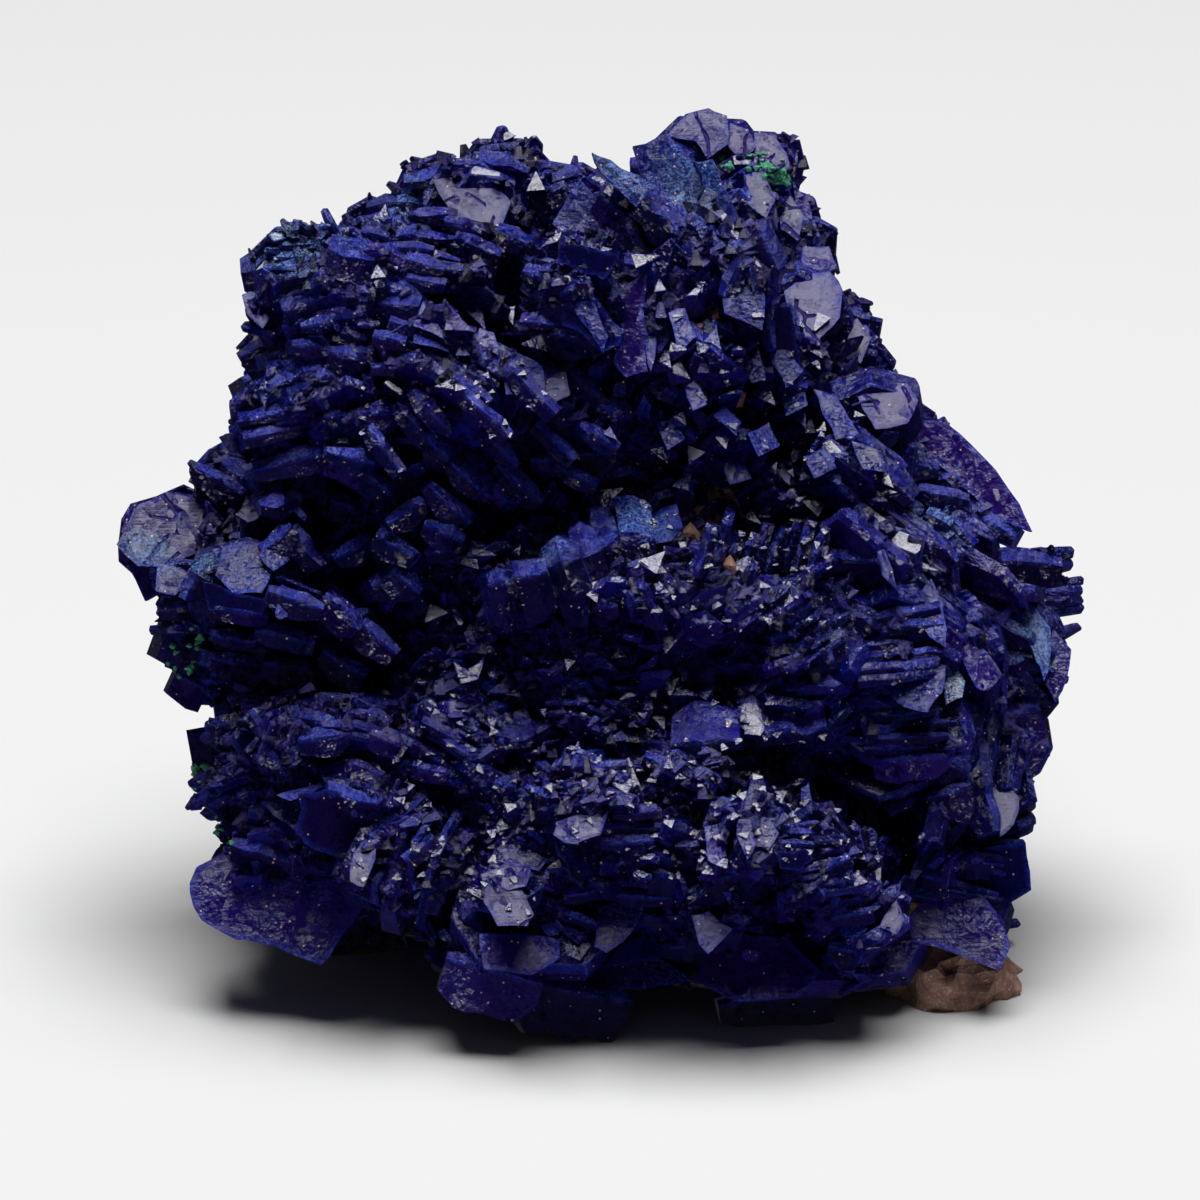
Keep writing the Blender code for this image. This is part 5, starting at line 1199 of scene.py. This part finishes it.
def growDruse(stock, tree, owners, bareNames):  # the finest crystals, between and on the others
    rng = random.Random("druse")
    grains = []
    for number in range(druse["kinds"]):
        bm = bmesh.new()
        bmesh.ops.create_cone(bm, cap_ends=True, segments=4 + number % 3, radius1=0.55, radius2=0.2,
                              depth=1.1)
        bmesh.ops.transform(bm, matrix=Matrix.Diagonal((1.0, 0.45 + 0.07 * number, 1.0, 1.0)), verts=bm.verts)
        bm.normal_update()
        paintFinish(bm, 1, rng.uniform(0.1, 0.7), rng.uniform(0.4, 1.0), rng.random(), rng)
        grains.append(bm)
    for number in range(druse["count"]):
        if rng.random() < druse["fromFront"]:
            x, y = (rng.uniform(-druse[side], druse[side]) for side in ("across", "up"))
            start, heading = onFace(x, y, showFace["reach"]), -frontward
        else:
            outward = straying(rng, 1).normalized()
            if outward.z < druse["lowestWay"]:
                continue
            start, heading = bodyMiddle + outward * (showFace["reach"] * mm), -outward
        point, normal, face = tree.ray_cast(start, heading)[:3]
        if point is None or point.z < druse["lowest"] * mm or owners[face] in bareNames:
            continue
        if normal.dot(heading) > 0:
            normal = -normal
        bm = rng.choice(grains).copy()
        size = rng.uniform(*druse["size"]) * mm
        across, up = acrossAndUp(point)
        left, below, above = druse["smooth"]
        if across > left and below < up < above and number % 5:
            continue
        glittering = any(math.hypot((across - x) / wide, (up - y) / high) < 1
                         for x, y, wide, high in druse["glittering"])
        if rng.random() < druse["facingLamp"] * (3 if glittering else 1):
            side = max(bm.faces, key=lambda face: face.calc_area() * (abs(face.normal.z) < 0.8))
            side.material_index = 2
            aim = (lampMirror + straying(rng, druse["aim"])).normalized()
            turn = side.normal.rotation_difference(aim)
        else:
            aim = (normal + straying(rng, druse["leaning"])).normalized()
            spin = Matrix.Rotation(rng.uniform(0, 6.28), 3, aim).to_quaternion()
            turn = spin @ Vector((0, 0, 1)).rotation_difference(aim)
        stretch = Matrix.Diagonal((size, size, size, 1.0))
        bm.transform(Matrix.Translation(point) @ turn.to_matrix().to_4x4() @ stretch)
        takeIn(stock, bm)
    for grain in grains:
        grain.free()


glints = {
    "piece": "glinting_crystals", "count": 1700, "size": (0.22, 0.55), "aim": 0.09, "spacing": 0.6,
    "lowest": 1.5, "larger": 0.10, "enlarged": 2.0,
    "places": ((0, -11, 13, 7), (-3, -17, 12, 5), (9.5, 8, 5, 8), (-9, 8, 6, 5), (13, -15, 5, 5),
               (9, 0, 6, 4)),
}


# small wedges between the others, each with a polished side that the lamp reaches
def growGlints(stock, tree):
    rng = random.Random("glints")
    lampward = lampMirror * (2 * lampMirror.dot(frontward)) - frontward
    taken = []
    for number in range(glints["count"]):
        x, y, wide, high = rng.choice(glints["places"])
        start = onFace(x + rng.uniform(-wide, wide), y + rng.uniform(-high, high), showFace["reach"])
        point = tree.ray_cast(start, -frontward)[0]
        if point is None or point.z < glints["lowest"] * mm:
            continue
        if tree.ray_cast(point + lampMirror * (0.5 * mm), lampward)[0]:  # something shades it
            continue
        size = rng.uniform(*glints["size"]) * (glints["enlarged"] if rng.random() < glints["larger"] else 1.0)
        if any((point - other).length < (glints["spacing"] + size) * mm for other in taken):
            continue
        taken.append(point)
        bm = bmesh.new()
        bmesh.ops.create_cone(bm, cap_ends=True, segments=rng.choice((3, 4)), radius1=0.8 * size * mm,
                              radius2=rng.uniform(0.05, 0.35) * size * mm, depth=1.3 * size * mm)
        bm.transform(Matrix.Diagonal((1.0, rng.uniform(0.5, 1.0), 1.0, 1.0)))
        bm.normal_update()
        side = max(bm.faces, key=lambda face: face.calc_area() * (abs(face.normal.z) < 0.8))
        side.material_index = 1
        aim = (lampMirror + straying(rng, glints["aim"])).normalized()
        spin = Matrix.Rotation(rng.uniform(0, 6.28), 3, aim)
        turn = spin @ side.normal.rotation_difference(aim).to_matrix()
        paintFinish(bm, 60, rng.uniform(0.2, 0.8), rng.uniform(0.4, 1.0), rng.random(), rng)
        bm.transform(Matrix.Translation(point) @ turn.to_4x4())
        takeIn(stock, bm)


coreBody = {"voxel": 0.9, "roughness": 0.5, "grain": 260.0, "finish": (0.1, 0.35, 0.1, 0.5)}


def growCoreBody():  # the mass that the crystals stand on
    mesh = bpy.data.meshes.new("core_of_lumps")
    whole = bmesh.new()
    for name, across, up, out, *radii in bodyLumps:
        lump = bpy.data.meshes.new(name)
        bm = lumpMesh(name, across, up, out, radii, 1)
        bm.to_mesh(lump)
        bm.free()
        whole.from_mesh(lump)
        bpy.data.meshes.remove(lump)
    whole.to_mesh(mesh)
    whole.free()
    lumps = bpy.data.objects.new("core_of_lumps", mesh)
    bpy.context.scene.collection.objects.link(lumps)
    fuse = lumps.modifiers.new("fuse", "REMESH")
    fuse.mode = "VOXEL"
    fuse.voxel_size = coreBody["voxel"] * mm
    fused = bpy.data.meshes.new_from_object(lumps.evaluated_get(bpy.context.evaluated_depsgraph_get()))
    bpy.data.objects.remove(lumps, do_unlink=True)
    bm = bmesh.new()
    bm.from_mesh(fused)
    bpy.data.meshes.remove(fused)
    bm.normal_update()
    for vert in bm.verts:
        push = noise.fractal(vert.co * coreBody["grain"], 0.8, 2.1, 3)
        vert.co += vert.normal * (push * coreBody["roughness"] - 0.4) * mm
    cutAtGround(bm)
    bm.normal_update()
    paintFinish(bm, 60, 0.3, 0.1, 0.5, random.Random("core"))
    finish = bm.loops.layers.float_color["finish"]
    for face in bm.faces:
        for loop in face.loops:
            loop[finish] = coreBody["finish"]
    stock = newStock()
    takeIn(stock, bm)
    return newPiece("crystal_root_mass", stock, azuriteFinishes, "azurite", "azurite_crystals")


def addNode(tree, kind, **settings):
    node = tree.nodes.new(kind)
    for key, value in settings.items():
        if key.startswith("in_"):
            name = key[3:]
            node.inputs[int(name) if name.isdigit() else name.replace("_", " ")].default_value = value
        else:
            setattr(node, key, value)
    return node


def feed(tree, sockets, values):  # each socket gets its link or its value
    for socket, value in zip(sockets, values):
        if isinstance(value, bpy.types.NodeSocket):
            tree.links.new(value, socket)
        else:
            socket.default_value = value


def mixColours(tree, share, first, second):
    node = addNode(tree, "ShaderNodeMix", data_type="RGBA", blend_type="MIX", clamp_factor=True)
    feed(tree, [socket for socket in node.inputs if socket.enabled], (share, first, second))
    return [socket for socket in node.outputs if socket.enabled][0]


def calc(tree, operation, first, second, clamp=False):
    node = addNode(tree, "ShaderNodeMath", operation=operation, use_clamp=clamp)
    feed(tree, node.inputs, (first, second))
    return node.outputs[0]


def plus(tree, first, second, clamp=False):
    return calc(tree, "ADD", first, second, clamp)


def times(tree, first, second):
    return calc(tree, "MULTIPLY", first, second)


def rangeOf(tree, value, low, high, start=0.0, end=1.0, smooth=True):
    node = addNode(tree, "ShaderNodeMapRange", interpolation_type="SMOOTHSTEP" if smooth else "LINEAR",
                   clamp=True)
    tree.links.new(value, node.inputs["Value"])
    for name, number in (("From Min", low), ("From Max", high), ("To Min", start), ("To Max", end)):
        node.inputs[name].default_value = number
    return node.outputs["Result"]


def noiseOf(tree, coordinates, scale, detail=3.0, roughness=0.55):
    node = addNode(tree, "ShaderNodeTexNoise", in_Scale=scale, in_Detail=detail, in_Roughness=roughness)
    tree.links.new(coordinates, node.inputs["Vector"])
    return node.outputs["Fac"]


azuriteFinish = {
    "deep": (0.0008, 0.0012, 0.078, 1), "violet": (0.0105, 0.0010, 0.066, 1), "worn": (0.012, 0.028, 0.45, 1),
    # a paler blue for rubbing, also laid on upward faces as painted top light
    "powder": (0.13, 0.36, 0.66, 1), "rubbedAndLitTop": (0.035, 0.075, 0.55, 1), "speck": (0.60, 0.42, 0.30, 1),
    "powderedPlaces": (  # across, up, radius
        (-19, 20, 4.5), (-12, 24, 2.5), (-29, 0.6, 2.6), (-25.5, -0.5, 2.5), (1, 26, 4.5), (7, 24, 5.0),
        (22.9, -7.6, 1.8), (-3, 1, 1.8), (3, 3, 2.6), (22, 3, 3.0), (29, -5, 3.0),
    ),
}


def azuriteMaterial(name, glassy, surfaceTree, index, level, sparkle, relief):
    finish = azuriteFinish
    material = bpy.data.materials.new(name)
    material.use_nodes = True
    tree = material.node_tree
    surface = tree.nodes["Principled BSDF"]
    place = addNode(tree, "ShaderNodeTexCoord").outputs["Object"]
    parts = addNode(tree, "ShaderNodeSeparateColor")
    painted = addNode(tree, "ShaderNodeAttribute", attribute_name="finish")
    tree.links.new(painted.outputs["Color"], parts.inputs["Color"])
    wear, tone, gleam = parts.outputs["Red"], parts.outputs["Green"], parts.outputs["Blue"]
    shade = painted.outputs["Alpha"]
    normal = addNode(tree, "ShaderNodeNewGeometry").outputs["Normal"]
    split = addNode(tree, "ShaderNodeSeparateXYZ")
    tree.links.new(normal, split.inputs[0])
    upward = split.outputs["Z"]

    fine = noiseOf(tree, place, 5200, 4, 0.7)
    broad = noiseOf(tree, place, 330, 3, 0.5)
    grain = addNode(tree, "ShaderNodeUVMap", uv_map="grain").outputs["UV"]
    stretch = addNode(tree, "ShaderNodeMapping", in_Scale=(1.2, 9.0, 1.0))
    tree.links.new(grain, stretch.inputs["Vector"])
    lines = noiseOf(tree, stretch.outputs["Vector"], 5.0, 3, 0.6)

    violetShare = plus(tree, times(tree, tone, 0.75), times(tree, broad, 0.5), True)
    violetShare = rangeOf(tree, violetShare, 0.2, 0.95)
    colour = mixColours(tree, violetShare, finish["deep"], finish["violet"])
    # shade scales each face's colour: at random for most pages, and low on the dark kind's faces as painted
    # shade
    brighter = rangeOf(tree, shade, 0.0, 1.0, 0.35, 1.6, False)
    scaled = addNode(tree, "ShaderNodeVectorMath", operation="SCALE")
    tree.links.new(colour, scaled.inputs[0])
    tree.links.new(brighter, scaled.inputs["Scale"])
    colour = scaled.outputs[0]
    # rims are worn paler in patches; faces that look up are made paler too, part rubbing and part painted
    # light on the tops
    patchy = rangeOf(tree, plus(tree, times(tree, fine, 0.7), times(tree, lines, 0.3)), 0.40, 0.60)
    wornShare = times(tree, wear, rangeOf(tree, broad, 0.30, 0.62, 0.30, 1.0))
    wornShare = times(tree, wornShare, plus(tree, times(tree, patchy, 0.80), 0.20))
    wornShare = plus(tree, wornShare, times(tree, patchy, 0.04), True)
    colour = mixColours(tree, wornShare, colour, finish["worn"])
    # painted light: the paler rubbed blue goes where faces look up, where the lamp falls
    lit = rangeOf(tree, upward, 0.15, 0.9)
    rubbedAndLitTop = times(tree, times(tree, lit, rangeOf(tree, broad, 0.44, 0.68)), rangeOf(tree, fine, 0.48, 0.66))
    rubbedAndLitTop = times(tree, rubbedAndLitTop, plus(tree, times(tree, wear, 0.6), 0.25))
    colour = mixColours(tree, rubbedAndLitTop, colour, finish["rubbedAndLitTop"])
    # sky-blue powder lies on a few upper places
    powdered = None
    for across, up, radius in finish["powderedPlaces"]:
        start = onFace(across, up, showFace["reach"])
        found = surfaceTree.ray_cast(start, -frontward)[0] or onFace(across, up, 5)
        away = addNode(tree, "ShaderNodeVectorMath", operation="DISTANCE")
        tree.links.new(place, away.inputs[0])
        away.inputs[1].default_value = found
        near = rangeOf(tree, away.outputs["Value"], radius * mm, 0.35 * radius * mm)
        powdered = near if powdered is None else calc(tree, "MAXIMUM", powdered, near)
    thin = times(tree, rangeOf(tree, broad, 0.46, 0.66), 0.12)
    powdered = calc(tree, "MAXIMUM", powdered, thin)
    powdered = times(tree, powdered, rangeOf(tree, upward, 0.1, 0.8))
    powdered = times(tree, powdered, rangeOf(tree, fine, 0.44, 0.64))
    colour = mixColours(tree, times(tree, powdered, 0.6), colour, finish["powder"])
    # tiny pale grains cling to it
    dots = addNode(tree, "ShaderNodeTexVoronoi", in_Scale=2100.0)
    tree.links.new(place, dots.inputs["Vector"])
    hue = addNode(tree, "ShaderNodeSeparateColor")
    tree.links.new(dots.outputs["Color"], hue.inputs["Color"])
    dot = times(tree, rangeOf(tree, dots.outputs["Distance"], 0.17, 0.10),
                rangeOf(tree, hue.outputs["Red"], 0.76, 0.78))
    colour = mixColours(tree, dot, colour, finish["speck"])
    tree.links.new(colour, surface.inputs["Base Color"])

    dull = plus(tree, times(tree, wear, 0.14), times(tree, plus(tree, powdered, dot, True), 0.4))
    rough = rangeOf(tree, gleam, 0.0, 1.0, 0.20, 0.05, False)
    rough = plus(tree, rough, times(tree, calc(tree, "SUBTRACT", fine, 0.5), 0.16))
    if glassy:  # fine cracks and a duller patch here and there
        bent = addNode(tree, "ShaderNodeTexNoise", in_Scale=700.0, in_Detail=3.0)
        tree.links.new(place, bent.inputs["Vector"])
        shifted = addNode(tree, "ShaderNodeVectorMath", operation="MULTIPLY_ADD")
        tree.links.new(bent.outputs["Color"], shifted.inputs[0])
        shifted.inputs[1].default_value = (0.0006, 0.0006, 0.0006)
        tree.links.new(place, shifted.inputs[2])
        veins = addNode(tree, "ShaderNodeTexVoronoi", feature="DISTANCE_TO_EDGE", in_Scale=300.0)
        tree.links.new(shifted.outputs[0], veins.inputs["Vector"])
        crack = times(tree, rangeOf(tree, veins.outputs["Distance"], 0.035, 0.01),
                      rangeOf(tree, noiseOf(tree, place, 500, 2), 0.48, 0.56))
        rough = plus(tree, plus(tree, rough, times(tree, crack, 0.6)),
                     rangeOf(tree, broad, 0.50, 0.72, 0.0, 0.30))
    tree.links.new(plus(tree, rough, dull, True), surface.inputs["Roughness"])
    surface.inputs["IOR"].default_value = index
    surface.inputs["Specular IOR Level"].default_value = level

    crackle = noiseOf(tree, place, 2900, 2, 0.5)
    rugged = noiseOf(tree, place, 900, 2, 0.5)
    height = plus(tree, times(tree, lines, 0.4), times(tree, fine, plus(tree, times(tree, wear, 1.0), 0.5)))
    if not glassy:
        height = plus(tree, height, times(tree, crackle, rangeOf(tree, broad, 0.40, 0.60, 0.5, 2.4)))
        height = plus(tree, height, times(tree, rugged, 0.6))
    if glassy:
        height = calc(tree, "SUBTRACT", height, times(tree, crack, 5.0))
    bump = addNode(tree, "ShaderNodeBump", in_Strength=relief)
    bump.inputs["Distance"].default_value = 0.00014
    tree.links.new(height, bump.inputs["Height"])
    # grains of a third and of two thirds of a millimetre, each tilted its own way, sparkle one by one
    direction = bump.outputs["Normal"]
    for fineness, patches, share in ((3100.0, 240, 0.8), (1500.0, 310, 1.2)):
        cells = addNode(tree, "ShaderNodeTexVoronoi", in_Scale=fineness)
        tree.links.new(place, cells.inputs["Vector"])
        tilt = addNode(tree, "ShaderNodeVectorMath", operation="SUBTRACT")
        tree.links.new(cells.outputs["Color"], tilt.inputs[0])
        tilt.inputs[1].default_value = (0.5, 0.5, 0.5)
        scaled = addNode(tree, "ShaderNodeVectorMath", operation="SCALE")
        tree.links.new(tilt.outputs[0], scaled.inputs[0])
        least, most = (share * value for value in sparkle)
        tree.links.new(rangeOf(tree, noiseOf(tree, place, patches, 2), 0.40, 0.62, least, most),
                       scaled.inputs["Scale"])
        added = addNode(tree, "ShaderNodeVectorMath", operation="ADD")
        tree.links.new(direction, added.inputs[0])
        tree.links.new(scaled.outputs[0], added.inputs[1])
        direction = added.outputs[0]
    unit = addNode(tree, "ShaderNodeVectorMath", operation="NORMALIZE")
    tree.links.new(direction, unit.inputs[0])
    tree.links.new(unit.outputs[0], surface.inputs["Normal"])
    return material


def paleStone(name, colours, scale, depth):  # a matt earthy finish, for the clay and the green crust
    material = bpy.data.materials.new(name)
    material.use_nodes = True
    tree = material.node_tree
    surface = tree.nodes["Principled BSDF"]
    place = addNode(tree, "ShaderNodeTexCoord").outputs["Object"]
    broad, fine = noiseOf(tree, place, scale, 4, 0.6), noiseOf(tree, place, 6 * scale, 3, 0.7)
    colour = mixColours(tree, rangeOf(tree, broad, 0.35, 0.65), colours[0], colours[1])
    colour = mixColours(tree, rangeOf(tree, fine, 0.55, 0.70), colour, colours[2])
    tree.links.new(colour, surface.inputs["Base Color"])
    surface.inputs["Roughness"].default_value = 0.85
    bump = addNode(tree, "ShaderNodeBump", in_Strength=0.7)
    bump.inputs["Distance"].default_value = depth * mm
    tree.links.new(plus(tree, broad, times(tree, fine, 0.5)), bump.inputs["Height"])
    tree.links.new(bump.outputs["Normal"], surface.inputs["Normal"])
    return material


clayLump = {
    "place": (23, -27.5, -1), "radii": (5.0, 5.0, 6.5), "lumpiness": 0.7,
    "colours": ((0.44, 0.25, 0.19, 1), (0.25, 0.13, 0.10, 1), (0.70, 0.50, 0.41, 1)),
}


def moldClay(material):
    rng = random.Random("clay")
    stock = newStock()
    bm = lumpMesh("clay", *clayLump["place"], clayLump["radii"], 2)
    bmesh.ops.subdivide_edges(bm, edges=bm.edges[:], cuts=3, use_grid_fill=True)
    bm.normal_update()
    for vert in bm.verts:
        push = noise.fractal(vert.co * 420, 0.7, 2.2, 4)
        vert.co += vert.normal * ((push - 0.3) * clayLump["lumpiness"] * mm)
    cutAtGround(bm)
    paintFinish(bm, 60, 0.3, 0.1, 0.5, rng)
    takeIn(stock, bm)
    return newPiece("clay_lump", stock, (material,), "clay", "clay_matrix")


# Bits of clay between the crystals, and green crusts: across, up, spread, how many.
clayBits = {
    "piece": "clay_bits", "size": (0.35, 0.95),
    "places": ((7.2, 15.7, 0.9, 16), (7.2, 11.8, 0.9, 12), (9.5, 9.0, 0.9, 14), (9.8, 4.6, 1.1, 18),
               (7.3, 3.0, 1.2, 24), (12.8, 3.2, 0.8, 12), (-10.7, -11.4, 0.5, 6), (18.2, -28.3, 0.9, 14),
               (19, -27.5, 0.9, 14), (21, -24, 1.6, 14), (26, -24.5, 1.4, 16), (23, -27.3, 2.2, 90)),
}
greenBits = {
    "piece": "green_crust", "size": (0.18, 0.38),
    "colours": ((0.03, 0.20, 0.10, 1), (0.05, 0.28, 0.17, 1), (0.16, 0.42, 0.30, 1)),
    "places": ((11.2, 25.9, 0.45, 44), (11.9, 25.4, 0.35, 34), (8.6, 26.2, 0.3, 8), (-26.0, -13.6, 0.5, 12),
               (-24.8, -17.2, 0.9, 34), (-27, -6, 0.7, 10), (-26, -5, 0.7, 8)),
}


def scatterBits(look, tree, material, slot, node):
    rng = random.Random(look["piece"])
    stock = newStock()
    for across, up, spread, count in look["places"]:
        for number in range(count):
            start = onFace(across + rng.gauss(0, spread), up + rng.gauss(0, spread), showFace["reach"])
            point = tree.ray_cast(start, -frontward)[0]
            if point is None or point.z < 1.0 * mm:
                continue
            bm = bmesh.new()
            bmesh.ops.create_icosphere(bm, subdivisions=1, radius=rng.uniform(*look["size"]) * mm)
            for vert in bm.verts:
                vert.co *= rng.uniform(0.55, 1.25)
            paintFinish(bm, 60, 0.3, 0.1, 0.5, rng)
            bm.transform(Matrix.Translation(point) @ Matrix.Diagonal((1.0, 1.0, rng.uniform(0.6, 1.0), 1.0)))
            takeIn(stock, bm)
    return newPiece(look["piece"], stock, (material,), slot, node)


clay = paleStone("clay_surface", clayLump["colours"], 900, 0.5)
green = paleStone("green_crust_surface", greenBits["colours"], 700, 0.12)


# everything grown so far with the lumps under it, and which group each face is of
def grownTree(stocks, ownersOf):
    corners, faces, owners = [], [], []
    for piece, stock in stocks.items():
        first = len(corners)
        corners += stock["points"]
        names = {index: name for name, start, end in ownersOf.get(piece, ()) for index in range(start, end)}
        at = 0
        for size in stock["sizes"]:
            faces.append([first + corner for corner in stock["corners"][at:at + size]])
            owners.append(names.get(stock["corners"][at], ""))
            at += size
    for name, across, up, out, *radii in bodyLumps:
        bm = lumpMesh(name, across, up, out, radii, 1)
        first = len(corners)
        corners += [vert.co[:] for vert in bm.verts]
        faces += [[first + vert.index for vert in face.verts] for face in bm.faces]
        owners += [""] * len(bm.faces)
        bm.free()
    return BVHTree.FromPolygons(corners, faces), owners


lumps = grownTree({}, {})[0]
rows = groupPlaces(lumps)
allRegions = regions + (farSide,)
stocks = {region["piece"]: newStock() for region in allRegions}
ownersOf = {region["piece"]: [] for region in allRegions}
for row in rows:
    growLargePages(stocks[row[0]["piece"]], row, ownersOf[row[0]["piece"]])
print("large pages grown")
for look, grow in ((ledges, growLedges), (facets, growFacets)):
    underTree = grownTree(stocks, ownersOf)[0]
    stocks[look["piece"]] = newStock()
    grow(stocks[look["piece"]], underTree)
    ownersOf[look["piece"]] = [(look["piece"], 0, stocks[look["piece"]]["count"])]
    print(look["piece"], "grown")
grown, owners = grownTree(stocks, ownersOf)
azuriteFinishes = (
    azuriteMaterial("azurite_surface", False, grown, 1.6, 0.5, (0.25, 1.0), 1.0),
    azuriteMaterial("azurite_dulled_face", True, grown, 1.54, 0.30, (0.06, 0.30), 0.5),
    azuriteMaterial("azurite_bright_facet", False, grown, 1.75, 0.5, (0.03, 0.18), 0.58),
    azuriteMaterial("azurite_broad_face", False, grown, 1.55, 0.4, (0.08, 0.50), 0.6),
)
bareNames = {name for region in allRegions for name in region["bare"]} | {ledges["piece"], facets["piece"]}
spots = findSpots(grown, rows, owners, bareNames)
for region in allRegions:
    growSmallBooks(stocks[region["piece"]], [spot for spot in spots if spot[2][0] is region], grown)
print(len(spots), "spots")
stocks[glints["piece"]] = newStock()
growGlints(stocks[glints["piece"]], grownTree(stocks, ownersOf)[0])
for piece, stock in stocks.items():
    if stock["count"]:
        newPiece(piece, stock, azuriteFinishes, "azurite", "azurite_crystals")
druseStock = newStock()
growDruse(druseStock, grown, owners, bareNames)
newPiece("fine_crystals", druseStock, azuriteFinishes, "azurite", "azurite_crystals")
print("fine crystals grown")
growCoreBody()
moldClay(clay)
scatterBits(clayBits, lumps, clay, "clay", "clay_matrix")
scatterBits(greenBits, grown, green, "azurite", "azurite_crystals")
print("clay and green crust added")


floorLook = {"size": 3.0, "colour": (0.66, 0.66, 0.66, 1)}
viewpoint = {"sensor": 36, "away": 0.7, "across": 1200 * 0.065 * mm, "shift": (0.005, -0.0283)}


def newFloor():
    bm = bmesh.new()
    bmesh.ops.create_grid(bm, x_segments=1, y_segments=1, size=floorLook["size"])
    mesh = bpy.data.meshes.new("floor")
    bm.to_mesh(mesh)
    bm.free()
    floor = bpy.data.objects.new("floor", mesh)
    bpy.context.scene.collection.objects.link(floor)
    material = bpy.data.materials.new("pale_floor")
    material.use_nodes = True
    surface = material.node_tree.nodes["Principled BSDF"]
    surface.inputs["Base Color"].default_value = floorLook["colour"]
    surface.inputs["Roughness"].default_value = 1.0
    surface.inputs["Specular IOR Level"].default_value = 0.0
    mesh.materials.append(material)
    floor.visible_glossy = False


def lightAndCamera():
    scene = bpy.context.scene
    scene.view_settings.view_transform = "Standard"
    world = bpy.data.worlds.new("soft_room")
    scene.world = world
    world.use_nodes = True
    background = world.node_tree.nodes["Background"]
    background.inputs["Color"].default_value = softLamp["fillColour"]
    background.inputs["Strength"].default_value = softLamp["fill"]
    light = bpy.data.lights.new("soft_lamp", "AREA")
    light.size = softLamp["size"]
    light.energy = softLamp["power"]
    lamp = bpy.data.objects.new("soft_lamp", light)
    lamp.location = (0, 0, softLamp["height"])
    scene.collection.objects.link(lamp)
    lens = bpy.data.cameras.new("camera")
    lens.sensor_width = viewpoint["sensor"]
    lens.lens = viewpoint["sensor"] * viewpoint["away"] / viewpoint["across"]
    lens.clip_start = 0.01
    lens.shift_x, lens.shift_y = viewpoint["shift"]
    camera = bpy.data.objects.new("camera", lens)
    scene.collection.objects.link(camera)
    heart = onFace(0, 0, 0)
    camera.location = heart + frontward * viewpoint["away"]
    camera.rotation_euler = (heart - camera.location).to_track_quat("-Z", "Y").to_euler()
    scene.camera = camera


newFloor()
lightAndCamera()
print("floor, lamp and camera set")
